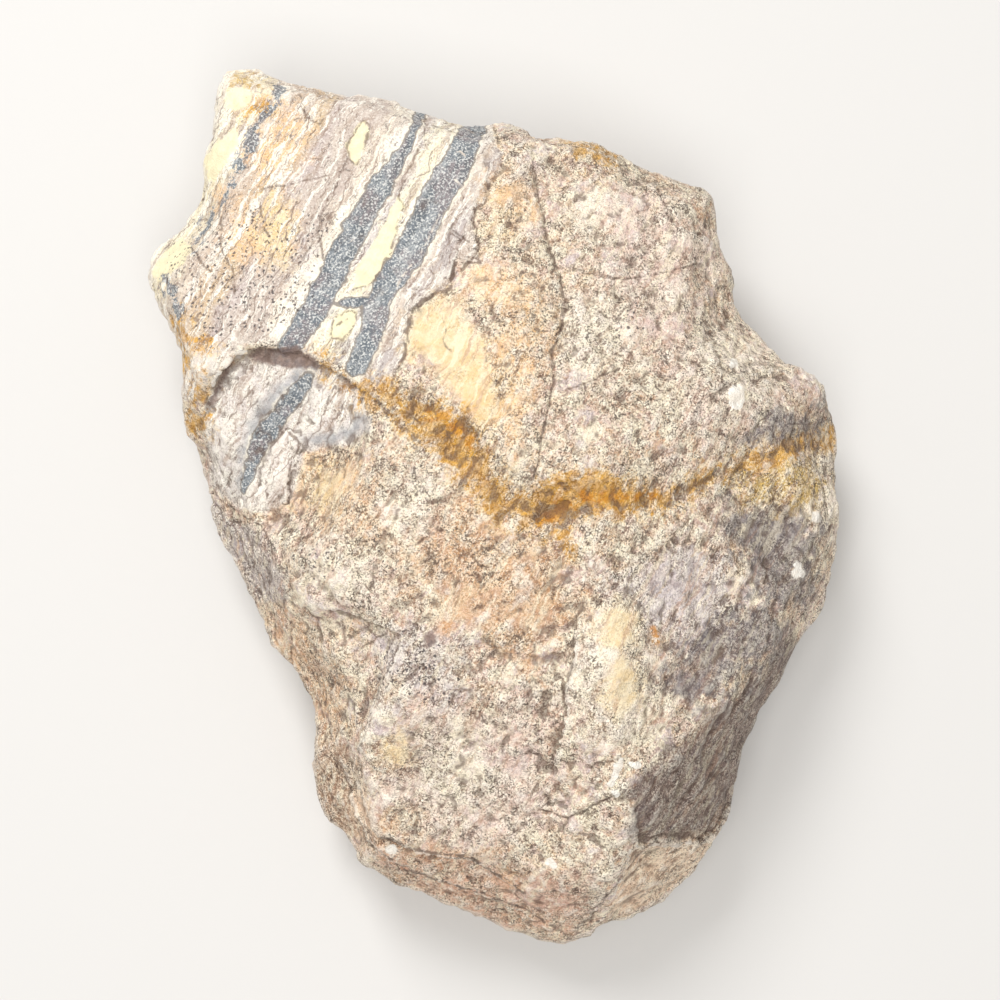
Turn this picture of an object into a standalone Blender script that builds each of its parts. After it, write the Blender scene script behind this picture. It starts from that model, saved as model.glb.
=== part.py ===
"""A rough piece of porcelain jasper, broken on every side, that lies on a flat fracture.

The stone is a slab with the real outline. Its upper and lower faces are worked out from named
fracture faces, ledges, grooves and swells, and it is then roughened as broken rock is.
Lengths below are in millimetres, seen from above: +X right, +Y away, +Z up.
"""

import math

import bmesh
import bpy
import numpy as np
from mathutils import Matrix, Vector, noise

MM = 0.001
NAME = "jasper_stone"

SLAB_HEIGHT = 50.0
COARSE_VOXEL = 1.4
FINE_VOXEL = 1.1
TRIANGLES = 9200
BASE_CUT = 0.4
BASE_CALM = 5.0
SPUR_RISE = 0.9
SIDE_GROWTH = 0.6
CHIP_SIZES = (16.0, 7.0)
CHIP_SLOPES = (0.065, 0.12)
TOP_CHIP_SHARE = 0.42

# The outline as seen from above, clockwise from the far left corner.
OUTLINE = (
    (-47.4, 71.0), (-42.5, 70.6), (-35.8, 69.4), (-30.2, 67.4), (-24.4, 65.8), (-21.9, 66.5),
    (-16.9, 64.8), (-9.2, 61.5), (-3.4, 60.6), (1.5, 60.8), (4.9, 59.2), (10.5, 58.8),
    (14.4, 57.4), (20.5, 56.0), (25.9, 54.0), (31.0, 51.6), (35.2, 49.4), (37.0, 45.0),
    (36.3, 42.0), (39.7, 34.4), (39.8, 31.4), (44.2, 25.1), (46.8, 22.9), (48.6, 19.4),
    (51.2, 18.1), (54.1, 17.1), (56.3, 11.3), (57.1, 8.5), (57.0, 3.0), (58.9, -6.6),
    (58.5, -10.2), (56.0, -17.1), (55.3, -19.8), (50.7, -26.6), (48.1, -33.3), (44.6, -38.9),
    (42.2, -43.2), (41.4, -47.5), (38.0, -54.4), (34.6, -59.2), (34.0, -61.4), (31.4, -66.0),
    (28.0, -70.6), (21.6, -72.6), (18.0, -72.5), (14.6, -75.2), (10.7, -77.2), (5.9, -74.9),
    (1.2, -73.4), (-3.9, -72.2), (-13.7, -68.7), (-18.6, -66.7), (-22.7, -64.3), (-24.4, -62.2),
    (-25.4, -58.8), (-27.8, -56.5), (-29.5, -56.2), (-31.0, -48.9), (-30.8, -44.9),
    (-29.8, -41.6), (-30.2, -39.1), (-34.2, -32.8), (-35.4, -29.5), (-38.5, -27.0),
    (-40.3, -22.4), (-44.8, -15.0), (-46.5, -10.6), (-48.2, -9.7), (-48.9, -1.9), (-49.7, 3.2),
    (-50.8, 6.5), (-52.4, 10.1), (-52.3, 17.4), (-54.0, 24.5), (-55.8, 27.4), (-60.4, 37.0),
    (-57.8, 40.8), (-52.4, 45.4), (-49.4, 46.6), (-49.2, 51.0), (-49.2, 55.3), (-47.3, 59.2),
    (-47.9, 64.3),
)

# Each side of the stone: a straight run of the outline from start to end, clockwise. The side
# stands upright between its low and high edge, leans in by lean degrees above it, and is
# undercut by under degrees below it.
SIDES = (
    {"start": (-47, 70), "end": (-22, 65.5), "low": 21, "high": 26, "lean": 22, "under": 52},
    {"start": (-21, 65), "end": (-2, 60), "low": 17, "high": 28, "lean": 30, "under": 60},
    {"start": (0, 60), "end": (20, 55.5), "low": 15, "high": 29, "lean": 26, "under": 50},
    {"start": (21, 55), "end": (35, 49), "low": 18, "high": 26, "lean": 38, "under": 58},
    {"start": (37, 45), "end": (40, 31), "low": 16, "high": 24, "lean": 34, "under": 62},
    {"start": (40, 31), "end": (54, 17), "low": 13, "high": 22, "lean": 40, "under": 55},
    {"start": (56.5, 12), "end": (58, -8), "low": 11, "high": 18, "lean": 36, "under": 64},
    {"start": (57.5, -10), "end": (51, -27), "low": 12, "high": 17, "lean": 30, "under": 54},
    {"start": (51, -27), "end": (42, -44), "low": 9, "high": 15, "lean": 24, "under": 60},
    {"start": (41.5, -47), "end": (35.5, -60), "low": 10, "high": 15, "lean": 22, "under": 58},
    {"start": (35, -62), "end": (20, -72), "low": 7, "high": 13, "lean": 20, "under": 66},
    {"start": (17, -74), "end": (10.7, -77), "low": 8, "high": 13, "lean": 35, "under": 60},
    {"start": (10.7, -77), "end": (-4, -73), "low": 6, "high": 11, "lean": 32, "under": 66},
    {"start": (-4, -73), "end": (-23, -65), "low": 8, "high": 13, "lean": 26, "under": 56},
    {"start": (-25, -61), "end": (-31.7, -48), "low": 7, "high": 13, "lean": 30, "under": 62},
    {"start": (-31.7, -46), "end": (-31, -40), "low": 9, "high": 15, "lean": 20, "under": 50},
    {"start": (-31, -39), "end": (-40, -22), "low": 8, "high": 14, "lean": 28, "under": 60},
    {"start": (-40, -22), "end": (-48.5, -2), "low": 10, "high": 14, "lean": 24, "under": 55},
    {"start": (-49, 0), "end": (-53.5, 10), "low": 12, "high": 17, "lean": 20, "under": 50},
    {"start": (-53.3, 11), "end": (-56, 26), "low": 14, "high": 21, "lean": 18, "under": 62},
    {"start": (-57, 27), "end": (-59.7, 35.8), "low": 17, "high": 22, "lean": 26, "under": 58},
    {"start": (-59.7, 36), "end": (-50, 46), "low": 18, "high": 24, "lean": 34, "under": 54},
    {"start": (-50, 47), "end": (-50, 55), "low": 16, "high": 25, "lean": 20, "under": 60},
    {"start": (-48.5, 58), "end": (-48, 69), "low": 20, "high": 26, "lean": 18, "under": 56},
)

# The broad faces on top, each through three points.
TOP_FACES = {
    "banded face": ((-46.6, 69, 30), (-8.5, 41, 40), (0, 11, 45)),
    "far right face": ((5, 15, 45.5), (3, 59, 35), (40, 33, 33)),
    "right slope": ((34, 0.7, 38), (58, -6, 25.5), (44, -19.5, 30.5)),
    "near plateau": ((10, -13, 44.5), (17, -36, 42), (-22, -43, 35.5)),
    "near apron": ((24, -50, 39), (10, -69.5, 26), (-17, -66, 22)),
    "shaded facet": ((24, -50, 38.5), (42, -43, 20), (35.4, -59.6, 18.5)),
}

# Smaller broken faces let into the top: a border, three points that set the face, and how
# steeply the stone rises from it outside the border.
SUNK_FACES = {
    "smooth left facet": {
        "border": ((-49, 12), (-42, 19.5), (-32.5, 20), (-25, 16.5), (-22.5, 13.5), (-24, 5),
                   (-27.5, 0), (-32.5, -5), (-37.5, -7), (-43.5, -4.5), (-48, -2.5)),
        "through": ((-25, 15, 38.6), (-42, 18, 35), (-46, -2, 27)),
        "rise": 1.3,
    },
    "brown left facet": {
        "border": ((-35.7, -17), (-32, -20.8), (-26.7, -22), (-17, -27.4), (-18.5, -32.4),
                   (-21, -36.8), (-23, -43.6), (-28, -42.7), (-33, -37), (-38, -27.9),
                   (-40, -20)),
        "through": ((-17, -28, 36.5), (-28, -38, 27), (-33, -21, 29.5)),
        "rise": 1.1,
    },
    "low lobe": {
        "border": ((-32, -42.4), (-26, -43.5), (-24.2, -47.5), (-23.5, -53.4), (-23.5, -58.5),
                   (-27, -60), (-31, -56.8), (-33, -50)),
        "through": ((-25, -45, 22), (-31, -50, 17), (-24, -58, 17.5)),
        "rise": 1.8,
    },
    "near ledge": {
        "border": ((-6, -60.5), (-0.5, -62.5), (4, -66), (8.5, -72), (9, -78), (-5, -75),
                   (-20, -69), (-24, -65), (-17, -62.5), (-12, -61)),
        "through": ((-5, -62, 25), (6, -72, 18.5), (-18, -66, 19)),
        "rise": 1.6,
    },
    "lowest ledge": {
        "border": ((-1, -70), (3, -71.4), (8, -73.5), (10, -78), (-6, -76), (-12, -71)),
        "through": ((-1, -70.5, 17), (7, -74, 14.5), (-8, -72, 15)),
        "rise": 1.7,
    },
    "tip facet": {
        "border": ((4, -66.5), (7.5, -63), (12.5, -62.5), (15.5, -65), (15, -71), (11, -77.5),
                   (8, -73)),
        "through": ((8, -63, 29), (15.5, -66, 27), (11, -75, 17)),
        "rise": 1.5,
    },
    "olive facet": {
        "border": ((22.7, -60.5), (29, -60), (34.5, -58.5), (36.5, -61), (33, -67), (27, -72),
                   (19.9, -73), (17.7, -72.5), (19.5, -66.6)),
        "through": ((23, -60, 25), (34.6, -58.5, 20.5), (27, -70.4, 16)),
        "rise": 1.9,
    },
    "right shelf": {
        "border": ((38, 2), (47, 4), (57, 8), (59, -6), (55, -18), (47, -22), (40, -12)),
        "through": ((39, 0, 34.8), (57, 0, 26), (46, -20, 27.5)),
        "rise": 0.9,
    },
}

# Grooves and crests along hand-placed lines: depth is positive where the stone is lower.
FOLDS = {
    "vein groove": {
        "line": ((-49.2, 12.4), (-41.8, 19.9), (-32.5, 20.4), (-25.2, 16.7), (-17, 11.2),
                 (-11.3, 7.9), (-4.8, 2.1), (-1.6, -3.5), (4.8, -6.8), (9.6, -6)),
        "depth": 1.1, "reach": 2.4,
    },
    "shallow end of the vein": {
        "line": ((12, -6), (22.5, -4.4), (32.4, -1.5), (39.5, 1.5), (46.8, 4.7), (55.6, 7.6)),
        "depth": 0.5, "reach": 2.2,
    },
    "near valley": {
        "line": ((9.7, -7), (10.8, -16), (10.5, -24.4), (9.5, -33), (8.4, -42), (9.5, -52)),
        "depth": 2.0, "reach": 5.5,
    },
    "left crest": {
        "line": ((-46, -4.5), (-39.5, -12.5), (-35, -17), (-31.5, -21), (-26.5, -22.6)),
        "depth": -1.2, "reach": 2.2,
    },
    "gap under the crest": {
        "line": ((-30, -23), (-25.5, -24.5), (-16.5, -28.5)),
        "depth": 1.5, "reach": 1.8,
    },
    "plateau crest": {
        "line": ((-16, -28), (-18.5, -33), (-21, -39), (-22.5, -46), (-21, -53), (-18.5, -58)),
        "depth": -1.0, "reach": 2.4,
    },
    "shaded facet crest": {
        "line": ((45, -24), (40, -31), (34, -38), (28, -43), (24.5, -49), (18, -54)),
        "depth": -1.4, "reach": 3.2,
    },
    "far right groove": {
        "line": ((23.5, 51), (25, 45), (28, 38), (33, 33)),
        "depth": 1.0, "reach": 2.0,
    },
    "upright crack": {
        "line": ((5.5, 52), (7, 43), (9.5, 30), (9.3, 20), (7.5, 9), (4.5, -2)),
        "depth": 0.7, "reach": 1.6,
    },
}

# Low swells and hollows of the top: centre, half width, half depth, height.
SWELLS = {
    "pale block": ((18.5, -33), 9.0, 8.5, 1.9),
    "block beside the valley": ((0.5, -22), 8.0, 10.0, 1.0),
    "far left swell": ((-36, 52), 10.0, 9.0, 1.0),
    "bowl between the layers": ((-21, 36), 7.0, 13.0, -1.0),
    "middle swell": ((9, 22), 14.0, 11.0, 1.1),
    "bowl on the far right": ((31, 31), 9.0, 9.0, -1.3),
    "bowl on the left facet": ((-37, 8), 8.0, 8.0, -0.9),
    "near hollow": ((-6, -46), 9.0, 8.0, -1.2),
}

# Small deep pits: centre and radius.
PITS = (
    ((-36, -7.5), 1.9),
    ((-37, -11.5), 1.6),
)

# Dips and bites around the sides, as broken rock has: centre, radius and how deep.
BITES = (
    ((-10, 58, 7), 13.0, 3.4),
    ((27, 50, 9), 11.0, 3.0),
    ((46, 22, 4), 11.0, 3.0),
    ((54, -2, 3), 11.0, 3.0),
    ((44, -34, 2), 12.0, 3.2),
    ((-12, -66, 1), 11.0, 2.6),
    ((-34, -32, 2), 10.0, 2.4),
    ((-42, -12, 4), 10.0, 2.4),
    ((-52, 22, 5), 11.0, 3.0),
    ((-46, 60, 9), 10.0, 2.6),
)

STONE_COLOUR = (0.60, 0.50, 0.43, 1.0)
STONE_ROUGHNESS = 0.78


def clear_scene():
    """Remove every object that the file starts with."""
    for item in list(bpy.data.objects):
        bpy.data.objects.remove(item, do_unlink=True)


def line_distance(points, line, closed=False):
    """Distance of each point from a line of straight runs."""
    line = np.asarray(line, float)
    ends = np.roll(line, -1, axis=0) if closed else line[1:]
    nearest = np.full(len(points), np.inf)
    for start, end in zip(line, ends):
        run = end - start
        share = np.clip((points - start) @ run / (run @ run), 0.0, 1.0)
        gap = np.linalg.norm(points - start - share[:, None] * run, axis=1)
        nearest = np.minimum(nearest, gap)
    return nearest


def inside_border(points, border):
    """True for each point that a closed border holds."""
    border = np.asarray(border, float)
    inside = np.zeros(len(points), bool)
    for (ax, ay), (bx, by) in zip(border, np.roll(border, -1, axis=0)):
        spans = (ay > points[:, 1]) != (by > points[:, 1])
        height = by - ay if by != ay else 1.0
        crossing = ax + (points[:, 1] - ay) * (bx - ax) / height
        inside ^= spans & (points[:, 0] < crossing)
    return inside


def plane_height(points, corners):
    """Height at each point of the plane through three corners."""
    first, second, third = np.asarray(corners, float)
    normal = np.cross(second - first, third - first)
    offset = (points - first[:2]) @ normal[:2]
    return first[2] - offset / normal[2]


def side_limits(points):
    """The height that the sides leave at each point: the highest top and the lowest bottom."""
    top = np.full(len(points), SLAB_HEIGHT)
    bottom = np.zeros(len(points))
    for side in SIDES:
        start = np.asarray(side["start"], float)
        run = np.asarray(side["end"], float) - start
        length = np.linalg.norm(run)
        along = (points - start) @ run / length
        inward = np.array((run[1], -run[0])) / length
        depth = np.maximum((points - start) @ inward, 0.0)
        overrun = np.maximum(np.maximum(-along, along - length), 0.0)
        rise = depth / math.tan(math.radians(side["lean"])) + SPUR_RISE * overrun
        fall = depth / math.tan(math.radians(side["under"])) + SPUR_RISE * overrun
        top = np.minimum(top, side["high"] + rise)
        bottom = np.maximum(bottom, side["low"] - fall)
    return top, bottom


def top_height(points):
    """Height of the finished top at each point."""
    height, _ = side_limits(points)
    for corners in TOP_FACES.values():
        height = np.minimum(height, plane_height(points, corners))
    for face in SUNK_FACES.values():
        outside = line_distance(points, face["border"], closed=True)
        outside[inside_border(points, face["border"])] = 0.0
        height = np.minimum(height, plane_height(points, face["through"]) + face["rise"] * outside)
    for fold in FOLDS.values():
        gap = line_distance(points, fold["line"]) / fold["reach"]
        height = height - fold["depth"] * np.exp(-gap * gap)
    for centre, half_width, half_depth, rise in SWELLS.values():
        offset = (points - np.asarray(centre)) / (half_width, half_depth)
        height = height + rise * np.exp(-np.sum(offset * offset, axis=1))
    return height


def make_slab():
    """The outline as a slab of even height."""
    bm = bmesh.new()
    corners = [bm.verts.new((x, y, 0.0)) for x, y in OUTLINE]
    face = bm.faces.new(corners)
    raised = bmesh.ops.extrude_face_region(bm, geom=[face])["geom"]
    for item in raised:
        if isinstance(item, bmesh.types.BMVert):
            item.co.z = SLAB_HEIGHT
    bmesh.ops.recalc_face_normals(bm, faces=bm.faces[:])
    mesh = bpy.data.meshes.new(NAME)
    bm.to_mesh(mesh)
    bm.free()
    stone = bpy.data.objects.new(NAME, mesh)
    collection = bpy.data.collections.new("porcelain_jasper")
    bpy.context.scene.collection.children.link(collection)
    collection.objects.link(stone)
    return stone


def bake_modifier(stone, kind, **settings):
    """Run one modifier on the stone and keep its result as the stone's mesh."""
    modifier = stone.modifiers.new(kind.title(), kind)
    for setting, value in settings.items():
        setattr(modifier, setting, value)
    evaluated = stone.evaluated_get(bpy.context.evaluated_depsgraph_get())
    old = stone.data
    stone.data = bpy.data.meshes.new_from_object(evaluated)
    stone.modifiers.remove(modifier)
    bpy.data.meshes.remove(old)


def read_points(mesh):
    """The mesh's points as an array."""
    points = np.empty(len(mesh.vertices) * 3, np.float32)
    mesh.vertices.foreach_get("co", points)
    return points.reshape(-1, 3).astype(float)


def write_points(mesh, points):
    """Put an array of points back into the mesh."""
    mesh.vertices.foreach_set("co", points.astype(np.float32).ravel())
    mesh.update()


def read_normals(mesh):
    """The mesh's vertex normals as an array."""
    normals = np.empty(len(mesh.vertices) * 3, np.float32)
    mesh.vertices.foreach_get("normal", normals)
    return normals.reshape(-1, 3).astype(float)


def shape_faces(mesh):
    """Move the slab's upper and lower face, and all between, to the stone's own heights."""
    points = read_points(mesh)
    plan = points[:, :2]
    _, bottom = side_limits(plan)
    top = np.maximum(top_height(plan), bottom + 2.0)
    share = np.clip(points[:, 2] / SLAB_HEIGHT, 0.0, 1.0)
    points[:, 2] = bottom + share * (top - bottom)
    write_points(mesh, points)


def dig_pits(points):
    """Sink the small pits into the top."""
    for centre, radius in PITS:
        gap = np.linalg.norm(points[:, :2] - np.asarray(centre), axis=1) / radius
        points[:, 2] -= np.where(points[:, 2] > 15.0, 1.4 * radius * np.exp(-gap * gap), 0.0)


def bite_sides(points, normals):
    """Press shallow bowls into the sides."""
    for centre, radius, depth in BITES:
        gap = np.linalg.norm(points - np.asarray(centre), axis=1) / radius
        flat = normals * (1.0, 1.0, 0.0)
        points -= flat * (depth * np.exp(-gap * gap))[:, None]


def rock_noise(place, size):
    """Noise between about -1 and 1 with lumps of the given size, sharper at its crests."""
    spot = Vector(place) / size
    broad = noise.noise(spot)
    sharp = 1.0 - 2.0 * abs(noise.noise(spot * 2.1 + Vector((7.3, 1.9, 4.1))))
    return 0.7 * broad + 0.3 * sharp


def chip_step(place, size, slope):
    """How far the broken chip at this place stands out: a tilted flat for each chip."""
    _, centres = noise.voronoi(Vector(place) / size)
    centre = centres[0]
    tilt = noise.cell_vector(centre * 9.7) * 2.0 - Vector((1.0, 1.0, 1.0))
    return slope * tilt.dot(Vector(place) - centre * size)


def roughness_at(place):
    """How rough the stone is: low on the fine layered far left, none where it rests."""
    layered = math.exp(-((place[0] + 28.0) / 22.0) ** 2 - ((place[1] - 35.0) / 32.0) ** 2)
    on_top = min(max((place[2] - 20.0) / 12.0, 0.0), 1.0)
    near_base = min(max(place[2] / BASE_CALM, 0.0), 1.0)
    return (1.0 - 0.65 * layered * on_top) * near_base


def roughen(mesh):
    """Lumps, chips and small steps over the whole stone but its flat base."""
    points = read_points(mesh)
    normals = read_normals(mesh)
    dig_pits(points)
    bite_sides(points, normals)
    for index, place in enumerate(points):
        rough = roughness_at(place)
        upright = 1.0 - abs(normals[index][2])
        push = 0.7 * rock_noise(place, 18.0) + 0.4 * rock_noise(place + 31.0, 7.5)
        push += 0.3 * rock_noise(place + 57.0, 3.4)
        chip_share = TOP_CHIP_SHARE + (1.0 - TOP_CHIP_SHARE) * upright
        for size, slope in zip(CHIP_SIZES, CHIP_SLOPES):
            push += chip_share * chip_step(place, size, slope)
        points[index] = place + normals[index] * (push * rough + SIDE_GROWTH * upright)
    write_points(mesh, points)


def loose_crumbs(bm):
    """Every point that isn't joined to the stone's largest body."""
    unseen = set(bm.verts)
    bodies = []
    while unseen:
        body = set()
        edge_of_body = [unseen.pop()]
        while edge_of_body:
            vert = edge_of_body.pop()
            body.add(vert)
            for edge in vert.link_edges:
                other = edge.other_vert(vert)
                if other in unseen:
                    unseen.remove(other)
                    edge_of_body.append(other)
        bodies.append(body)
    bodies.sort(key=len)
    return [vert for body in bodies[:-1] for vert in body]


def flatten_base(mesh):
    """Cut the underside flat, so that the stone rests without rocking."""
    bm = bmesh.new()
    bm.from_mesh(mesh)
    bmesh.ops.delete(bm, geom=loose_crumbs(bm), context="VERTS")
    everything = bm.verts[:] + bm.edges[:] + bm.faces[:]
    cut = bmesh.ops.bisect_plane(
        bm, geom=everything, dist=0.0001, plane_co=(0, 0, BASE_CUT),
        plane_no=(0, 0, 1), clear_inner=True)["geom_cut"]
    rim = [item for item in cut if isinstance(item, bmesh.types.BMEdge)]
    bmesh.ops.holes_fill(bm, edges=rim)
    bmesh.ops.triangulate(bm, faces=bm.faces[:])
    bmesh.ops.recalc_face_normals(bm, faces=bm.faces[:])
    bm.to_mesh(mesh)
    bm.free()


def set_down(mesh):
    """Put the origin at the middle of the underside of the stone's box, and work in metres."""
    points = read_points(mesh)
    low = points.min(axis=0)
    high = points.max(axis=0)
    middle = Vector(((low[0] + high[0]) / 2, (low[1] + high[1]) / 2, low[2]))
    mesh.transform(Matrix.Scale(MM, 4) @ Matrix.Translation(-middle))


def stone_material():
    """Pale pinkish beige broken stone."""
    material = bpy.data.materials.new("porcelain_jasper")
    material.use_nodes = True
    shader = material.node_tree.nodes["Principled BSDF"]
    shader.inputs["Base Color"].default_value = STONE_COLOUR
    shader.inputs["Roughness"].default_value = STONE_ROUGHNESS
    shader.inputs["Metallic"].default_value = 0.0
    return material


def main():
    clear_scene()
    stone = make_slab()
    bake_modifier(stone, "REMESH", mode="VOXEL", voxel_size=COARSE_VOXEL)
    shape_faces(stone.data)
    bake_modifier(stone, "REMESH", mode="VOXEL", voxel_size=FINE_VOXEL)
    roughen(stone.data)
    bake_modifier(stone, "REMESH", mode="VOXEL", voxel_size=FINE_VOXEL)
    triangles = sum(len(face.vertices) - 2 for face in stone.data.polygons)
    bake_modifier(stone, "DECIMATE", ratio=TRIANGLES / triangles)
    flatten_base(stone.data)
    set_down(stone.data)
    stone.data.materials.clear()
    stone.data.materials.append(stone_material())


main()
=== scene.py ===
"""Looks of a rough piece of porcelain jasper: a clay-fine, silica-hard rock that breaks in shallow flakes.

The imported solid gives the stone's form. Here it gets a finer fracture surface, and a material that follows
the rock's own story: bedded ash in grey and cream, a speckled pinkish ground, and a rust-stained vein.
Colours are placed by what the photograph shows, in pixels of its 1000 by 1000 frame, as seen by the camera.
"""
import math

import bmesh
import bpy
import numpy as np
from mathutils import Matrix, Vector, noise

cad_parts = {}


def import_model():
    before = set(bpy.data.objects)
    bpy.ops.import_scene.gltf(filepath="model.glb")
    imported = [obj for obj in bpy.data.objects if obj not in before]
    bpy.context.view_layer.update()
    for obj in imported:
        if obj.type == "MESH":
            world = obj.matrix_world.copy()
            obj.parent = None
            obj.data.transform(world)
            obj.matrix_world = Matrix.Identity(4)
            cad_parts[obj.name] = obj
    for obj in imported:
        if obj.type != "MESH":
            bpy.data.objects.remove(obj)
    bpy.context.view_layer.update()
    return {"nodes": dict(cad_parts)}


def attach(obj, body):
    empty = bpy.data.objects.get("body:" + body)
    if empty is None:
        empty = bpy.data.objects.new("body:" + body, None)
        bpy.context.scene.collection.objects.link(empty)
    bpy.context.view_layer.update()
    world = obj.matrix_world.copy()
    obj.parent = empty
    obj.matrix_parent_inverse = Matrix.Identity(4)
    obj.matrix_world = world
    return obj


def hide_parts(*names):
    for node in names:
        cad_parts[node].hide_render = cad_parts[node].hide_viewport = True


MM = 0.001
FRAME_PIXELS = 1000

# Camera: it looks down almost square on to the stone, at the point AIM, from the stone's near side
AIM = Vector((1.31, 2.66, -0.4)) * MM
CAMERA_DISTANCE = 0.4
CAMERA_TILT = math.radians(7)
CAMERA_LENS = 80.4
SENSOR_WIDTH = 36.0
PIXELS_PER_MM = 6.1

# Studio, in metres. Each lamp has its name, size, watts, distance, and elevation and azimuth in degrees
FLOOR_SIZE = 8
FLOOR_DROP = 0.0002
SKY_STRENGTH = 0.5
LAMPS = [
    ("key", 0.4, 6.0, 1.0, 50, -25),
    ("overhead", 0.7, 6.6, 1.1, 72, 190),
]

# Skin: the size of its faces in millimetres, and where it is made finer: on faces that look up by so much,
# and again within so many pixels of a seam
SKIN_VOXEL = 1.15
SKIN_SMOOTHING = 2
MERGE_GAP = 0.00001
TOP_FACING = 0.30
SEAM_MARGIN = 2.0

# The face that the stone rests on stays flat, and the relief dies away towards it, in millimetres
REST_HEIGHT = 0.35
DOWN_FACING = -0.8
CALM_HEIGHT = 4.0

# Relief of the fracture, in millimetres: the size of each kind of lump, and how far it stands out. Flakes
# also have a share by which their edges waver
SWELLS = (6.0, 0.30)
CREASES = (3.4, 0.45)
CRUMBLE = (1.1, 0.17)
FLAKES = [(7.5, 0.25, 0.09), (3.0, 0.35, 0.07)]
RUST_CRUST = (2.0, 0.22)

# The noise that bends the flakes' edges starts from the clock unless it has a seed
NOISE_SEED = 7

# The relief is weaker on the dense ash of the bedded corner, fading over so many pixels, and on cream zones
ASH_RELIEF = 0.35
ASH_FADE = 60
CREAM_CALM = 0.6
CREAM_FADE = 10.0
SIDE_FACING = 0.5

# A break dies away over a share of its route at both ends, and a share of its step stands above the solid
BREAK_END = 0.15
UPPER_SHARE = 0.3

# Crests and hollows are told by so many rounds of smoothing. Both fields are cut off there, in millimetres
RIDGE_ROUNDS = 7
RIDGE_LIMIT = 0.6
FIELD_LIMIT = 20

# The clay's grain runs from near left to far right, and its crumbs are that much longer than wide
GRAIN_TURN = math.radians(-32)
GRAIN_STRETCH = 2.2

# Layers in the photograph run down to the left; this is the unit vector across them, in pixels. Below
# DIP_TOP they dip down the sides
ACROSS = (0.8746, 0.4848)
BEDDING_TURN = -math.atan2(ACROSS[1], ACROSS[0])
LAYER_START = 200.0
LAYER_END = 540.0
LAYER_WAVER = 0.16
DIP_TOP = 16.0
DIP = math.tan(math.radians(25))
DIP_WANDER = (9, 1.1)

# The reach, in pixels, of a place that is nowhere near a stroke or patch
FAR = 400.0

# Every border read from the photograph wavers, as rock does: size in mm, reach in pixels, and seed
WAVERS = [(4.0, 2.2, 11), (1.2, 1.5, 13)]

# Noises that every kind of rock draws on: size in millimetres and detail
NOISE_LANES = [("far", 7.0, 4), ("near", 2.0, 4), ("fine", 0.36, 2)]

# Noises stay within a quarter of their middle, so they are raised by that much to wander by one
WANDER_GAIN = 4

# Crumbs, crevices and bumps, in millimetres. The stone's own grit is finer than the render's pixels, so it
# is drawn as coarse as it needs to show
CLAST_SIZE = 0.75
CREVICE_SIZE = 0.62
BUMP_DEPTH = 0.9
QUARTZ_IOR = 1.54

# Kinds of rock laid over the ground, in order: field, two mottled colours, noise lane, softness of the
# border, how far it wanders (far and near, in millimetres), strength, and below what noise it has gaps
GROUND_STAINS = [
    ("lilac", ("#b3a9ac", "#d6cccb"), 0, 3.0, 5.0, 3.0, 0.8),
    ("pink", ("#e6c8bb", "#f0ddd4"), 1, 3.5, 5.0, 3.0, 0.65),
    ("tan", ("#cf9a68", "#deb486"), 2, 3.5, 6.0, 3.0, 0.8),
    ("peach", ("#f3c286", "#efcca4"), 1, 2.6, 4.0, 2.4, 0.85),
    ("pale", ("#fdeede", "#fff3d8"), 2, 2.4, 4.0, 3.0, 0.95),
    ("soft_cream", ("#e8ca92", "#efdab0"), 2, 2.4, 3.0, 2.4, 0.85),
    ("facet", ("#dcd4cf", "#efe7db"), 1, 0.5, 0.4, 0.5, 0.92),
    # The near right facet: partly its own darker rock, partly painted shade where it turns from the light
    ("dark_facet", ("#53423f", "#75625c"), 1, 1.8, 1.6, 1.6, 0.95),
    ("brown_facet", ("#d3a086", "#e2b89e"), 1, 2.4, 3.0, 2.4, 0.8),
    ("lobe", ("#997557", "#b18e70"), 1, 1.6, 1.6, 1.6, 0.9),
    ("flank", ("#a19698", "#bfb5b2"), 1, 0.8, 0.6, 0.8, 0.9),
    ("shale", ("#655c5e", "#8f8483"), 0, 2.0, 4.0, 3.0, 0.9),
    ("olive", ("#dcb654", "#bd9438"), 2, 1.4, 2.4, 2.4, 0.9, 0.44),
    ("low_ledge", ("#f8dfc2", "#e0bb9a"), 2, 0.4, 0.5, 0.7, 0.9),
]
STAINS_OVER_GRIT = [
    ("shale", ("#565153", "#797274"), 0, 2.0, 4.0, 3.0, 0.45),
    # Darker again over the grit: the facet's own colour and painted shade together
    ("dark_facet", ("#463a38", "#645550"), 1, 1.2, 1.6, 1.6, 0.4),
    ("swirl", ("#94969b", "#b3b2b4"), 0, 1.2, 0.8, 0.8, 0.75),
]
CREAM_STAIN = ("cream", ("#fcf1c8", "#efe2bc"), 0, 0.3, 0.3, 0.5, 0.9)
STAINS_OVER_SLATE = [
    # Pale veins across the slate, and painted highlights on the crests of ledges
    ("pale_vein", ("#ece4d6", "#d6cabd"), 2, 0.12, 0.0, 0.1, 0.9, 0.46),
    # Painted shade: dark brown-grey where the steps of the stone undercut it
    ("umber", ("#8c756b", "#6b5b58"), 0, 0.4, 0.4, 0.5, 0.9),
]
STAINS_OVER_SPECKS = [
    ("white", ("#fffaf0", "#f6ecde"), 0, 0.12, 0.0, 0.35, 0.95),
    ("bright_rust", ("#e09c22", "#cb8118"), 2, 0.6, 0.5, 1.0, 0.8, 0.44),
]
SEAM_STAIN = ("seam", ("#5a4a40", "#7a6455"), 0, 0.16, 0.0, 0.06, 0.8, 0.42)

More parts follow.
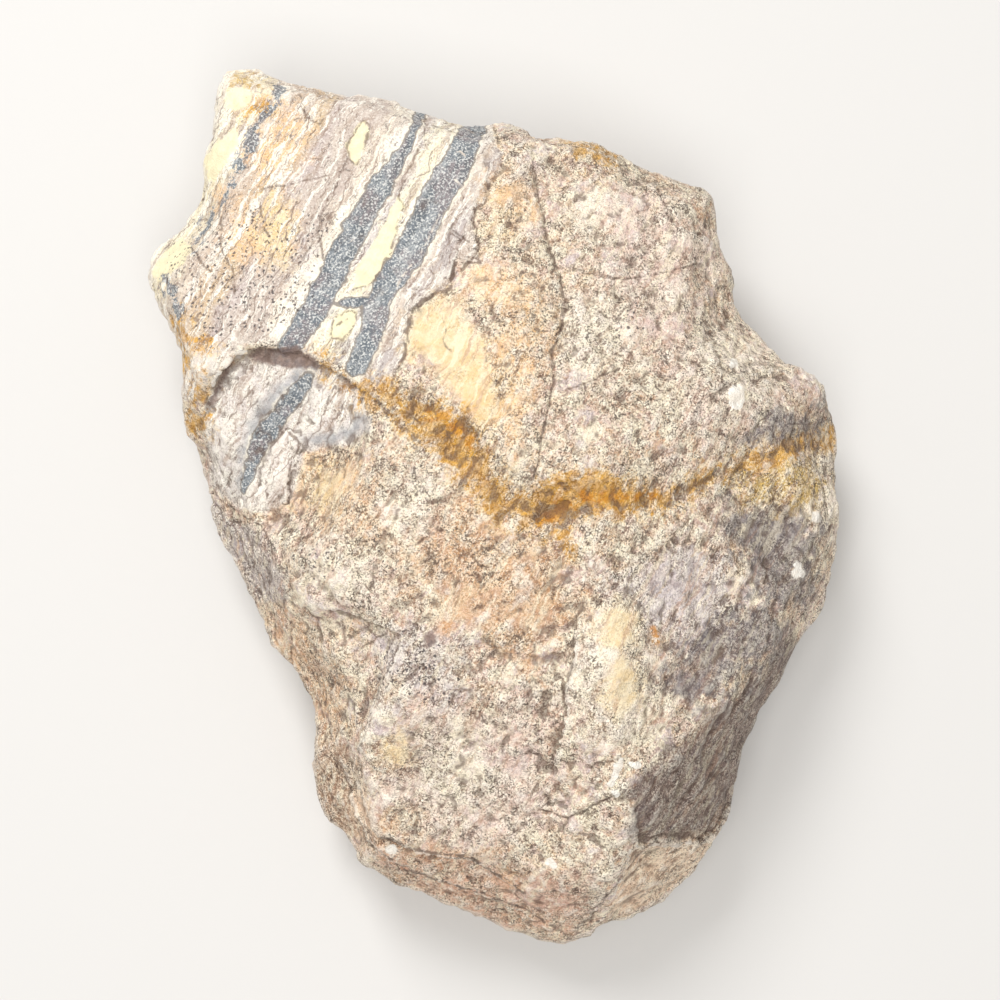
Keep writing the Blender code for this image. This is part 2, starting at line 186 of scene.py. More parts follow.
# Dark slate-grey layers: x, y and half width in pixels, from the far edge inwards
SLATE_LAYERS = [
    [(421, 108, 5), (414, 130, 3.5), (406, 148, 4.5), (397, 160, 7), (380, 189, 10.5), (357, 226, 12),
     (344, 251, 12.5), (331, 276, 12), (316, 309, 12), (297, 335, 11), (288, 347, 9)],
    [(479, 118, 8), (466, 142, 12), (456, 166, 14), (442, 187, 15.5), (432, 206, 15), (423, 223, 14),
     (407, 256, 13.5), (396, 272, 13), (383, 289, 12), (377, 306, 11.5), (374, 322, 11.3),
     (366, 348, 11), (356, 368, 9)],
    [(366, 301, 4), (352, 302, 5), (343, 303, 3), (338, 304, 1.5)],
    [(308, 378, 5), (296, 394, 7), (283, 410, 8), (269, 428, 9), (259, 446, 7), (252, 464, 6),
     (247, 480, 5), (244, 491, 2)],
]

# Paler slate on the lower facet, broken layers at the left edge, grey swirls, the facet and its flank
SOFT_SLATE = [
    [(305, 374, 9), (290, 392, 13), (276, 410, 14), (262, 428, 13), (252, 450, 11), (248, 470, 9),
     (245, 486, 5)],
]
BROKEN_LAYERS = [
    [(281, 88, 5), (277, 100, 6), (268, 112, 5), (258, 122, 5), (252, 136, 6), (247, 150, 9),
     (240, 163, 9), (233, 180, 7), (227, 196, 3)],
    [(222, 200, 3), (212, 213, 5), (204, 228, 6), (197, 242, 4), (193, 250, 2)],
    [(164, 280, 6), (170, 292, 8), (177, 306, 7), (180, 318, 4)],
]
GREY_SWIRLS = [
    [(300, 440), (318, 435), (335, 429), (350, 423), (362, 410), (369, 418), (364, 432), (352, 440),
     (335, 446), (318, 446)],
    [(315, 300), (323, 297), (331, 302), (331, 311), (323, 314), (316, 310)],
]
LOWER_FACET = [
    (205, 400), (225, 372), (248, 357), (300, 356), (345, 374), (364, 394), (372, 428), (345, 446),
    (305, 452), (291, 500), (262, 514), (240, 508), (214, 490), (203, 440),
]
FLANK = [
    (213, 500), (232, 518), (262, 532), (284, 574), (288, 600), (262, 606), (240, 566), (225, 545),
    (205, 515),
]

# The rusty vein that crosses the stone, its side shoots, and stains beside it
RUST_VEIN = [
    [(310, 360, 3), (326, 363, 4), (338, 371, 5), (352, 381, 7), (366, 391, 9), (384, 399, 12),
     (402, 408, 16), (424, 418, 20), (444, 430, 24), (462, 446, 22), (476, 466, 17), (488, 484, 14),
     (505, 498, 14), (525, 508, 13), (545, 512, 14), (562, 512, 12)],
    [(545, 500, 14), (572, 492, 18), (600, 494, 20), (628, 498, 15), (650, 500, 11), (668, 498, 8),
     (685, 490, 6), (700, 483, 6), (720, 474, 6), (741, 466, 7), (762, 460, 6), (782, 450, 7),
     (800, 444, 6), (816, 440, 5), (828, 437, 4)],
    [(520, 512, 8), (545, 524, 9), (560, 534, 8), (566, 545, 5)],
    [(178, 322, 3), (184, 338, 5), (197, 345, 6), (203, 356, 4), (205, 372, 3)],
    [(188, 360, 2), (194, 378, 2.5), (199, 398, 3)],
    [(196, 420, 6), (200, 425, 7)],
    [(250, 112, 4), (256, 106, 6), (264, 108, 5)],
]
RUST_STAINS = [
    [(571, 144), (585, 143), (600, 150), (615, 158), (614, 165), (600, 163), (585, 160), (573, 153)],
]
BRIGHT_RUST = [
    [(540, 520, 5), (560, 508, 7), (583, 497, 7), (606, 497, 8), (630, 497, 6), (655, 494, 4)],
    [(425, 413, 4), (444, 416, 6), (460, 430, 5), (470, 446, 4)],
    [(650, 630, 3), (658, 640, 5)],
]

# Cream, the porcelain-like layers and patches
CREAM_PATCHES = [
    [(396, 196), (403, 206), (395, 229), (396, 234), (388, 256), (375, 277), (367, 286), (353, 289),
     (356, 272), (370, 247), (385, 226), (391, 206)],
    [(365, 118), (370, 126), (362, 153), (354, 166), (349, 159), (347, 146), (356, 131)],
    [(228, 90), (246, 86), (256, 92), (250, 104), (238, 112), (224, 108)],
    [(205, 160), (220, 140), (234, 128), (240, 140), (228, 160), (214, 182), (206, 178)],
    [(152, 272), (165, 252), (182, 238), (192, 246), (184, 262), (170, 276), (158, 282)],
    [(336, 318), (349, 310), (357, 313), (354, 326), (342, 341), (332, 338), (331, 326)],
]
SOFT_CREAM = [
    [(410, 312), (425, 300), (446, 294), (464, 304), (482, 330), (494, 362), (500, 398), (494, 424),
     (478, 428), (462, 408), (446, 396), (434, 382), (426, 365), (416, 350), (408, 335)],
    [(318, 462), (338, 466), (344, 484), (334, 504), (320, 508), (310, 490)],
    [(262, 196), (285, 200), (300, 230), (285, 262), (262, 250), (254, 220)],
    [(484, 200), (500, 190), (504, 240), (488, 250)],
    [(600, 612), (622, 602), (640, 616), (636, 642), (614, 654), (598, 636)],
    [(606, 662), (626, 650), (642, 676), (634, 706), (612, 714), (600, 690)],
    [(377, 745), (400, 740), (417, 754), (404, 766), (384, 762)],
]
PALE_PATCHES = [
    [(560, 205), (600, 195), (625, 210), (600, 240), (570, 235)],
    [(599, 612), (620, 600), (640, 612), (640, 646), (618, 656), (598, 640)],
    [(578, 640), (600, 620), (660, 640), (664, 690), (640, 740), (590, 745), (566, 700)],
    [(300, 560), (340, 540), (380, 560), (370, 600), (330, 604), (304, 585)],
    [(700, 320), (740, 330), (770, 380), (740, 410), (700, 380)],
    [(560, 290), (620, 300), (640, 360), (600, 390), (566, 360)],
    [(400, 470), (440, 480), (430, 530), (390, 540), (372, 500)],
    [(430, 740), (480, 730), (500, 780), (460, 820), (420, 790)],
    [(796, 455), (828, 448), (838, 470), (842, 510), (838, 545), (822, 540), (812, 500), (800, 480)],
]
PEACH_PATCHES = [
    [(470, 352), (490, 330), (530, 330), (548, 360), (540, 400), (525, 440), (505, 456), (480, 440),
     (466, 410), (458, 385)],
    [(483, 280), (520, 270), (560, 290), (562, 330), (548, 360), (515, 350), (488, 335)],
    [(303, 447), (325, 446), (350, 452), (358, 468), (350, 490), (340, 510), (325, 526), (310, 515),
     (303, 500), (298, 480)],
    [(284, 427), (292, 434), (298, 442), (296, 455), (292, 470), (289, 490), (287, 508), (270, 512),
     (258, 505), (256, 492), (262, 470), (270, 450), (277, 438)],
    [(262, 118), (290, 112), (306, 125), (302, 160), (284, 184), (262, 182), (254, 150)],
    [(226, 196), (262, 193), (289, 205), (285, 245), (255, 259), (228, 240)],
    [(490, 170), (520, 175), (528, 215), (505, 235), (484, 215)],
]

# Ground with dark specks, the brown lobe, grey shale, lilac clay, and painted shade under the ledges
SPECKED_PATCHES = [
    [(150, 285), (170, 240), (222, 205), (262, 200), (322, 200), (345, 235), (300, 330), (240, 340),
     (205, 352), (178, 320)],
    [(370, 650), (420, 630), (470, 660), (460, 710), (400, 716), (366, 690)],
    [(280, 510), (310, 505), (350, 560), (330, 600), (290, 570)],
    [(360, 530), (390, 530), (400, 570), (370, 580)],
    [(600, 300), (640, 290), (650, 340), (610, 350)],
]
LOBE_PATCHES = [
    [(306, 735), (342, 742), (358, 765), (362, 800), (372, 840), (345, 845), (315, 820), (302, 780)],
]
SHALE_PATCHES = [
    [(735, 505), (765, 498), (800, 508), (822, 540), (810, 590), (780, 606), (752, 580), (735, 545)],
    [(690, 640), (730, 610), (770, 610), (770, 650), (730, 690), (690, 700), (668, 680)],
    [(766, 420), (790, 412), (826, 416), (828, 440), (800, 450), (768, 450), (740, 440)],
]
LILAC_PATCHES = [
    [(509, 148), (520, 146), (532, 152), (530, 163), (516, 166), (508, 158)],
    [(283, 236), (296, 234), (306, 244), (300, 256), (286, 256), (280, 246)],
    [(596, 590), (640, 560), (700, 540), (740, 560), (742, 620), (700, 660), (660, 640), (620, 620)],
    [(380, 640), (430, 630), (470, 660), (460, 700), (410, 716), (380, 690)],
]
# Painted shade in the undercuts below the step and the ledge
SHADE_UNDER_LEDGE_PATCHES = [
    [(256, 348), (274, 348), (296, 347), (312, 356), (316, 365), (293, 368), (266, 364), (256, 360),
     (249, 355)],
    [(423, 638), (430, 633), (437, 639), (434, 647), (426, 647)],
    [(229, 363), (236, 364), (225, 380), (222, 392), (212, 408), (205, 404), (210, 392), (220, 378)],
]

# Steep facets and ledges at the near end
# Its dark colour is partly the rock's own and partly painted shade on a face turned from the light
DARK_SHADED_FACETS = [
    [(786, 628), (800, 640), (794, 690), (775, 718), (760, 741), (750, 767), (732, 809), (714, 830),
     (702, 842), (664, 839), (638, 842), (635, 808), (620, 798), (645, 772), (688, 730), (728, 704),
     (758, 672)],
]
BROWN_FACETS = [
    [(525, 892), (541, 868), (587, 870), (600, 885), (587, 925), (565, 945), (545, 930)],
    [(372, 845), (424, 856), (472, 863), (496, 880), (530, 905), (550, 935), (500, 930), (430, 900),
     (385, 875)],
]
LOW_LEDGES = [
    [(636, 843), (674, 841), (704, 831), (715, 845), (696, 880), (659, 910), (619, 922), (606, 914),
     (619, 884)],
    [(356, 760), (366, 790), (378, 836), (360, 842), (350, 810), (346, 780)],
]

# Wide drifts of colour in the ground
OLIVE_PATCHES = [
    [(730, 470), (760, 456), (810, 458), (828, 480), (812, 510), (770, 516), (740, 500)],
    [(224, 72), (256, 76), (254, 86), (228, 85)],
]
TAN_PATCHES = [
    [(420, 500), (470, 490), (540, 540), (575, 600), (560, 650), (500, 650), (440, 620), (415, 560)],
    [(370, 835), (430, 840), (520, 880), (560, 930), (500, 940), (420, 905), (370, 880)],
    [(270, 610), (330, 620), (340, 700), (318, 740), (280, 690)],
    [(330, 470), (380, 460), (420, 500), (400, 560), (350, 540)],
]
PINK_PATCHES = [
    [(600, 200), (680, 190), (716, 250), (700, 320), (640, 340), (600, 290)],
    [(660, 330), (760, 340), (800, 400), (760, 440), (680, 430)],
    [(420, 710), (540, 690), (560, 800), (520, 860), (430, 850), (380, 780)],
]

# Chips of white silica
WHITE_CHIPS = [
    [(736, 390, 7), (737, 402, 7)],
    [(733, 362, 4), (733, 365, 4)],
    [(817, 515, 4), (817, 518, 4)],
    [(796, 571, 4), (796, 574, 4)],
    [(611, 776, 3), (616, 768, 5), (621, 764, 3)],
    [(632, 765, 4), (636, 766, 4)],
    [(614, 792, 3), (618, 796, 3)],
    [(550, 862, 5), (552, 865, 4)],
    [(391, 847, 3), (391, 850, 3)],
    [(213, 384, 2), (219, 372, 3)],
    [(225, 363, 3), (231, 357, 3)],
    [(238, 354, 3), (246, 352, 2)],
    [(797, 564, 3), (802, 573, 4)],
    [(622, 760, 2), (610, 784, 4)],
]

# Thin pale veins that healed old cracks across the slate, and painted highlights along the crests of ledges
PALE_VEINS_AND_CREST_HIGHLIGHTS = [
    [(438, 143, 0.8), (452, 149, 1.1), (466, 156, 1.1), (486, 168, 0.8)],
    [(436, 162, 0.7), (450, 174, 1.0), (464, 188, 1.0), (480, 204, 0.7)],
    [(452, 118, 0.7), (466, 130, 1.0), (484, 140, 0.8)],
    [(404, 150, 0.7), (392, 172, 0.9), (372, 204, 0.8), (350, 240, 0.7)],
    [(441, 214, 0.9), (428, 238, 1.1), (414, 262, 1.0), (398, 284, 0.9), (388, 304, 0.8)],
    # Painted highlights along the lit crests of ledges
    [(398, 652, 0.9), (378, 698, 1.4), (363, 742, 1.4), (358, 768, 1.0)],
    [(636, 844, 1.2), (664, 847, 1.6), (700, 842, 1.4), (715, 829, 1.0)],
    [(633, 843, 1.2), (622, 876, 1.3), (611, 902, 1.0)],
    [(578, 642, 0.9), (570, 676, 1.2), (566, 710, 0.9)],
]

# Thin seams, cracks and layer borders, with their half width
LONG_CRACK = [
    (534, 156, 1), (537, 190, 1.2), (544, 209, 1.2), (549, 248, 1.2), (560, 269, 1.3), (562, 289, 1.3),
    (565, 311, 1.2), (557, 339, 1.2), (552, 352, 1.2), (554, 380, 1.1), (549, 405, 1), (542, 430, 1),
    (538, 463, 1), (528, 491, 1),
]
SEAMS = [
    [(493, 125, 1.2), (502, 156, 1.4), (501, 170, 1.6), (489, 181, 1.6), (484, 204, 1.6), (474, 209, 1.4),
     (473, 228, 1.2), (479, 246, 1.4), (481, 264, 1.6), (456, 259, 2), (452, 272, 2), (450, 289, 2),
     (438, 291, 2), (423, 299, 2.2), (411, 312, 2.2), (406, 330, 2), (406, 350, 2), (402, 360, 2),
     (397, 371, 1.6), (393, 385, 1.4)],
    [(463, 209, 1), (449, 231, 1), (449, 245, 1), (453, 250, 1), (481, 259, 1)],
    [(449, 233, 0.9), (481, 256, 0.9)],
    [(452, 231, 0.9), (484, 252, 0.9)],
    [(365, 118, 0.9), (370, 126, 0.9), (362, 153, 0.9), (354, 166, 1), (349, 159, 0.9), (347, 146, 0.9),
     (356, 131, 0.9), (365, 118, 0.9)],
    [(336, 318, 0.9), (349, 310, 0.9), (357, 313, 0.9), (354, 326, 0.9), (342, 341, 1), (332, 338, 1),
     (331, 326, 1), (336, 318, 0.9)],
    [(337, 325, 1.3), (347, 319, 1.3)],
    [(396, 196, 0.8), (403, 206, 0.8), (395, 229, 0.8), (396, 234, 0.8), (388, 256, 0.8), (375, 277, 0.8),
     (367, 286, 1), (353, 289, 1)],
    [(256, 193, 1), (262, 215, 1), (269, 236, 1)],
    [(221, 217, 1), (220, 246, 1), (233, 272, 1), (235, 294, 1)],
    [(190, 247, 1), (202, 262, 1), (213, 276, 1)],
    [(319, 232, 0.9), (299, 267, 0.9)],
    [(319, 232, 0.9), (324, 259, 0.9)],
    [(441, 316, 0.6), (446, 330, 0.7), (443, 341, 0.6), (452, 352, 0.6)],
    [(468, 308, 0.6), (476, 322, 0.7), (489, 330, 0.7), (494, 341, 0.7), (506, 352, 0.6)],
    [(489, 330, 0.6), (484, 348, 0.6), (487, 360, 0.6)],
    LONG_CRACK,
    [(566, 391, 0.9), (596, 378, 1), (620, 368, 0.9)],
    [(226, 198, 0.8), (300, 182, 0.8), (389, 160, 0.8)],
    [(354, 653, 1), (372, 640, 1.1), (387, 633, 1)],
    [(759, 425, 1), (744, 469, 1.1), (726, 496, 1)],
    [(286, 428, 1.2), (299, 443, 1.6), (297, 452, 1.6), (291, 466, 1.4), (289, 486, 1.2), (288, 504, 1.6)],
    [(576, 640, 1), (569, 653, 1.2), (564, 676, 1.2), (564, 709, 1.2), (553, 719, 1)],
    [(349, 153, 0.8), (340, 178, 0.8), (325, 205, 0.8), (318, 232, 0.8)],
    [(426, 116, 0.8), (424, 134, 0.9), (414, 160, 0.9), (404, 182, 0.9), (398, 196, 0.8)],
    [(553, 265, 1), (584, 270, 1), (611, 277, 0.9)],
    [(613, 280, 0.8), (650, 275, 0.8), (698, 265, 0.8)],
    [(635, 301, 0.8), (623, 311, 0.9), (608, 328, 0.8)],
    [(662, 195, 0.9), (669, 219, 0.9)],
    [(662, 587, 1), (674, 577, 1.1), (671, 571, 1)],
    [(398, 647, 0.9), (376, 698, 1), (359, 750, 1), (357, 770, 1)],
    [(383, 837, 1.4), (424, 851, 1.8), (472, 858, 1.8), (496, 873, 1.8), (525, 892, 1.6)],
    [(366, 840, 1.2), (400, 868, 1.4), (440, 880, 1.4), (480, 893, 1.2), (521, 908, 1), (571, 937, 1)],
    [(471, 556, 0.8), (480, 548, 0.8), (494, 548, 0.8), (504, 556, 0.8), (496, 565, 0.8), (480, 566, 0.8),
     (471, 556, 0.8)],
    [(616, 796, 0.9), (587, 808, 0.8), (568, 818, 0.7), (539, 808, 0.6)],
    [(587, 918, 1), (616, 885, 1.2), (640, 851, 1.2), (659, 839, 1)],
    [(214, 492, 1), (240, 514, 1), (262, 526, 1), (277, 559, 1.2), (287, 574, 1)],
    [(301, 96, 0.8), (306, 118, 0.9), (318, 124, 0.8), (330, 112, 0.8), (338, 98, 0.8)],
]

# The corner of bedded ash
BEDDED_BORDER = [
    (100, 20), (496, 20), (493, 131), (502, 156), (501, 170), (489, 181), (484, 204), (474, 209),
    (473, 228), (479, 246), (481, 264), (456, 259), (452, 272), (450, 289), (438, 291), (423, 299),
    (411, 312), (406, 330), (406, 350), (402, 360), (397, 371), (393, 385), (366, 385), (336, 366),
    (316, 358), (270, 345), (240, 345), (200, 392), (190, 400), (60, 400),
]

# Colours of the ash layers, by their distance in pixels across the layers
LAYER_COLOURS = [
    (215, "#f4ecdb"), (240, "#f0e6d0"), (250, "#f5ecd6"), (275, "#ecdfbe"), (300, "#d3c1b1"),
    (315, "#ccb090"), (335, "#d2b996"), (350, "#c4b4ae"), (365, "#d2c3b5"), (385, "#c4b3a8"),
    (400, "#efe2ce"), (410, "#f8efdf"), (437, "#d2c8c3"), (446, "#f3e9cd"), (460, "#efe3c4"),
    (470, "#b5aaa4"), (490, "#e2d8cd"), (497, "#cfbba8"), (508, "#bdb2ad"), (520, "#c0b4af"),
    (532, "#d5c5b6"),
]

# Breaks in the surface. Each has the height in mm by which its right side stands above its left (plus) or
# below it (minus), as one walks along it, the height of its own crest, how far both spread, and its route
BREAKS = [
    (-0.8, 0.0, 4.0, [(196, 410), (208, 392), (222, 372), (240, 352), (262, 347), (300, 353), (330, 370),
                      (366, 392), (386, 408), (410, 430), (439, 464)]),
    (0.0, 0.9, 3.5, [(205, 470), (214, 492), (240, 514), (262, 526), (277, 559), (287, 574), (304, 591),
                     (334, 611), (350, 614)]),
    (-0.7, 0.2, 4.0, [(320, 606), (342, 611), (383, 628), (404, 634)]),
    (-1.3, 0.3, 4.0, [(404, 634), (398, 647), (376, 698), (359, 750), (357, 770), (369, 808), (383, 837),
                      (424, 851), (472, 858), (496, 873), (525, 892)]),
    (-1.1, 0.2, 3.0, [(330, 745), (345, 770), (352, 800), (366, 840), (400, 868), (440, 880), (480, 893),
                      (520, 912), (552, 932)]),
    (0.0, 0.8, 2.5, [(512, 900), (525, 892), (541, 868), (587, 870), (600, 885), (587, 918)]),
    (1.1, 0.2, 3.0, [(620, 800), (635, 808), (638, 842), (664, 839), (702, 842), (714, 830), (741, 789)]),
    (-1.1, 0.2, 4.0, [(590, 600), (577, 618), (573, 654), (564, 695), (567, 716), (556, 760), (560, 790)]),
    (0.4, 0.1, 3.0, [(630, 790), (616, 796), (587, 808), (568, 818), (539, 808), (520, 816)]),
    (0.6, 0.0, 2.5, [(258, 500), (262, 469), (274, 444), (287, 428), (302, 439), (299, 454), (289, 479),
                     (287, 504), (264, 510)]),
    (-0.9, 0.1, 3.0, [(575, 935), (587, 918), (616, 885), (640, 851), (659, 839)]),
    (0.0, -0.5, 5.0, [(470, 520), (500, 560), (520, 620), (548, 660), (545, 720), (550, 760)]),
    (0.0, 0.7, 4.0, [(430, 540), (448, 590), (440, 640), (420, 700), (400, 760)]),
    (0.0, -0.35, 0.8, [point[:2] for point in LONG_CRACK]),
    (0.5, 0.1, 4.0, [(480, 128), (486, 180), (470, 215), (480, 250), (452, 272), (411, 312), (402, 360)]),
    (-0.25, 0.05, 3.0, [(553, 265), (584, 270), (613, 279), (650, 275), (698, 265), (716, 250)]),
    (0.5, 0.2, 4.0, [(650, 175), (664, 200), (672, 222), (700, 236), (716, 240)]),
    (-0.6, 0.1, 4.0, [(700, 400), (740, 378), (780, 372), (800, 380)]),
    (0.0, -0.6, 3.5, [(440, 440), (470, 470), (500, 500), (560, 514), (620, 505), (690, 490), (760, 460),
                      (828, 440)]),
]

# Relief along strokes: which, how far it rises or sinks in mm, the share of it that is there at the
# stroke's border, and over how many pixels it grows
GROOVES_AND_CHIPS = [
    (SEAMS, -0.16, 1.0, 2.0),
    (SLATE_LAYERS + BROKEN_LAYERS, -0.10, 0.5, 4.0),
    (WHITE_CHIPS, 0.20, 0.5, 3.0),
]

# Where each kind of rock lies: its strokes and its patches
ROCK_FIELDS = {
    "slate": (SLATE_LAYERS, []),
    "swirl": (SOFT_SLATE, GREY_SWIRLS),
    "facet": ([], [LOWER_FACET]),
    "flank": ([], [FLANK]),
    "broken": (BROKEN_LAYERS, []),
    "rust": (RUST_VEIN, RUST_STAINS),
    "bright_rust": (BRIGHT_RUST, []),
    "cream": ([], CREAM_PATCHES),
    "soft_cream": ([], SOFT_CREAM),
    "peach": ([], PEACH_PATCHES),
    "pale": ([], PALE_PATCHES),
    "lilac": ([], LILAC_PATCHES),
    "umber": ([], SHADE_UNDER_LEDGE_PATCHES),
    "dark_facet": ([], DARK_SHADED_FACETS),
    "olive": ([], OLIVE_PATCHES),
    "low_ledge": ([], LOW_LEDGES),
    "tan": ([], TAN_PATCHES),
    "specked": ([], SPECKED_PATCHES),
    "shale": ([], SHALE_PATCHES),
    "brown_facet": ([], BROWN_FACETS),
    "lobe": ([], LOBE_PATCHES),
    "pink": ([], PINK_PATCHES),
    "white": (WHITE_CHIPS, []),
    "pale_vein": (PALE_VEINS_AND_CREST_HIGHLIGHTS, []),
    "seam": (SEAMS, []),
    "bedded": ([], [BEDDED_BORDER]),
    "dense": ([], [BEDDED_BORDER, LOWER_FACET]),
}


def linear(hex_colour):
    """An sRGB hex colour as the linear values that Blender's sockets take."""
    parts = [int(hex_colour[i:i + 2], 16) / 255 for i in (1, 3, 5)]
    return [p / 12.92 if p <= 0.04045 else ((p + 0.055) / 1.055) ** 2.4 for p in parts] + [1.0]


def per_mm(size):
    """The texture scale whose features measure that many millimetres."""
    return 1 / (size * MM)


def picture_places(points):
    """Where the camera sees each point of the stone, in pixels of its frame."""
    back = np.array((0, -math.sin(CAMERA_TILT), math.cos(CAMERA_TILT)))
    up = np.array((0, math.cos(CAMERA_TILT), math.sin(CAMERA_TILT)))
    focal = CAMERA_LENS / SENSOR_WIDTH * FRAME_PIXELS
    eye = np.array(AIM) + back * CAMERA_DISTANCE
    ray = points - eye
    depth = -(ray @ back)
    across = FRAME_PIXELS / 2 + focal * ray[:, 0] / depth
    down = FRAME_PIXELS / 2 - focal * (ray @ up) / depth
    return np.stack((across, down), axis=1)


def line_gap(places, start, end):
    """Distance from each place to a line piece, and how far along the piece the nearest point is."""
    run = np.array(end[:2], float) - np.array(start[:2], float)
    along = np.clip((places - start[:2]) @ run / (run @ run), 0, 1)
    gap = np.linalg.norm(places - start[:2] - along[:, None] * run, axis=1)
    return gap, along


def stroke_reach(places, stroke):
    """How far inside a brushed line each place lies, in pixels. Outside it is negative."""
    reach = np.full(len(places), -FAR)
    for start, end in zip(stroke, stroke[1:]):
        gap, along = line_gap(places, start, end)
        reach = np.maximum(reach, start[2] + (end[2] - start[2]) * along - gap)
    return reach


def patch_reach(places, outline):
    """How far inside a closed outline each place lies, in pixels. Outside it is negative."""
    gap = np.full(len(places), FAR)
    inside = np.zeros(len(places), bool)
    for start, end in zip(outline, outline[1:] + outline[:1]):
        gap = np.minimum(gap, line_gap(places, start, end)[0])
        if start[1] != end[1]:
            rise = (places[:, 1] - start[1]) / (end[1] - start[1])
            left = places[:, 0] < start[0] + (end[0] - start[0]) * rise
            inside ^= ((start[1] > places[:, 1]) != (end[1] > places[:, 1])) & left
    return np.where(inside, gap, -gap)


def best_reach(places, strokes=(), patches=()):
    """The deepest reach of several strokes and patches at once."""
    reach = np.full(len(places), -FAR)
    for stroke in strokes:
        reach = np.maximum(reach, stroke_reach(places, stroke))
    for outline in patches:
        reach = np.maximum(reach, patch_reach(places, outline))
    return reach


def rock_noise(points, size, octaves, seed):
    """Fractal noise of that size in millimetres, one value from about -1 to 1 for each point."""
    shift = Vector((seed * 17.3, seed * -9.1, seed * 5.7))
    scale = per_mm(size)
    roughness = 0.9
    step = 2.1
    return np.array([noise.fractal(Vector(p) * scale + shift, roughness, step, octaves) for p in points])


def flake_steps(points, size, ragged, seed):
    """Small flat fracture flakes: each cell of the rock leans its own way, in millimetres of height."""
    shift = Vector((seed * 3.7, seed * 8.3, seed * -4.9))
    scale = per_mm(size)
    wobble = 2.3
    spread = 7.0
    steps = np.zeros(len(points))
    for i, point in enumerate(points):
        place = Vector(point) * scale + shift
        place = place + noise.noise_vector(place * wobble) * ragged
        centre = noise.voronoi(place)[1][0]
        lean = noise.cell_vector(centre * spread) - Vector((0.5, 0.5, 0.5))
        steps[i] = (place - centre).dot(lean)
    return steps * size


def creased_noise(points, size, seed):
    """Noise with round lumps and sharp creases between them, from 0 to 1."""
    gain = 1.6
    return np.clip(np.abs(rock_noise(points, size, 3, seed)) * gain, 0, 1)


def read_points(mesh, field="co"):
    """The mesh's points or their normals as an array of rows."""
    values = np.zeros(len(mesh.vertices) * 3, np.float32)
    mesh.vertices.foreach_get(field, values)
    return values.reshape(-1, 3).astype(float)


def even_skin(node):
    """A copy of the solid with an even skin of small faces, its large facets gently eased."""
    mesh = node.data.copy()
    joined = bmesh.new()
    joined.from_mesh(mesh)
    bmesh.ops.remove_doubles(joined, verts=joined.verts, dist=MERGE_GAP)
    joined.to_mesh(mesh)
    joined.free()
    stone = bpy.data.objects.new("rough_stone", mesh)
    bpy.context.scene.collection.objects.link(stone)
    skin = stone.modifiers.new("even skin", "REMESH")
    skin.mode = "VOXEL"
    skin.voxel_size = SKIN_VOXEL * MM
    ease = stone.modifiers.new("ease facets", "SMOOTH")
    ease.factor = 0.5
    ease.iterations = SKIN_SMOOTHING
    seen = stone.evaluated_get(bpy.context.evaluated_depsgraph_get())
    fine = bpy.data.meshes.new_from_object(seen)
    stone.modifiers.clear()
    stone.data = fine
    return stone


def split_faces(grid, chosen):
    """Splits the chosen faces in four, with their edges in a fixed order, so that each run does the same."""
    edges = list(dict.fromkeys(edge for face in chosen for edge in face.edges))
    bmesh.ops.subdivide_edges(grid, edges=edges, cuts=1, use_grid_fill=True)


def refine_skin(stone):
    """Finer faces where the eye rests: on top, and finest beside seams."""
    grid = bmesh.new()
    grid.from_mesh(stone.data)
    split_faces(grid, [face for face in grid.faces if face.normal.z > TOP_FACING])
    grid.faces.ensure_lookup_table()
    centres = np.array([face.calc_center_median() for face in grid.faces])
    lit = np.array([face.normal.z > TOP_FACING for face in grid.faces])
    near = best_reach(picture_places(centres), strokes=SEAMS) > -SEAM_MARGIN
    split_faces(grid, [grid.faces[i] for i in np.flatnonzero(near & lit)])
    bmesh.ops.triangulate(grid, faces=grid.faces)
    bmesh.ops.recalc_face_normals(grid, faces=grid.faces)
    grid.to_mesh(stone.data)
    grid.free()


def lay_of_layers(points):
    """Picture places that follow the dipping layers down the sides instead of straight through."""
    places = picture_places(points)
    deep = np.clip(DIP_TOP - points[:, 2] / MM, 0, None)
    drift = deep * DIP * PIXELS_PER_MM
    wander = rock_noise(points, DIP_WANDER[0], 3, 3) * deep * DIP_WANDER[1]
    places[:, 0] += ACROSS[0] * (drift + wander)
    places[:, 1] += ACROSS[1] * (drift + wander)
    for axis in (0, 1):
        for size, reach, seed in WAVERS:
            places[:, axis] += rock_noise(points, size, 2, seed + axis) * reach
    return places


def break_height(places, jump, crest, spread, route):
    """The relief that one break gives each place, in millimetres. It dies away sideways and at both ends."""
    nearest = np.full(len(places), FAR)
    side = np.zeros(len(places))
    travelled = np.zeros(len(places))
    done = 0.0
    for start, end in zip(route, route[1:]):
        gap, along = line_gap(places, start, end)
        length = math.dist(start, end)
        closer = gap < nearest
        right = end[0] - start[0]
        down = end[1] - start[1]
        turn = right * (places[:, 1] - start[1]) - down * (places[:, 0] - start[0])
        side = np.where(closer, np.sign(turn), side)
        travelled = np.where(closer, done + along * length, travelled)
        nearest = np.minimum(nearest, gap)
        done += length
    ends = np.clip(np.minimum(travelled, done - travelled) / (BREAK_END * done), 0, 1)
    away = nearest / PIXELS_PER_MM / spread
    above = UPPER_SHARE * abs(jump) * np.exp(-away / 2)
    below = (UPPER_SHARE - 1) * abs(jump) * np.exp(-away)
    step = np.where(side * jump > 0, above, below)
    return (step + crest * np.exp(-away)) * ends


def along_grain(points):
    """The points drawn in along the stone's grain, so that noise read there comes out in long folds."""
    grain = np.array((-math.sin(GRAIN_TURN), math.cos(GRAIN_TURN), 0.0))
    return points - np.outer((points @ grain) * (1 - 1 / GRAIN_STRETCH), grain)


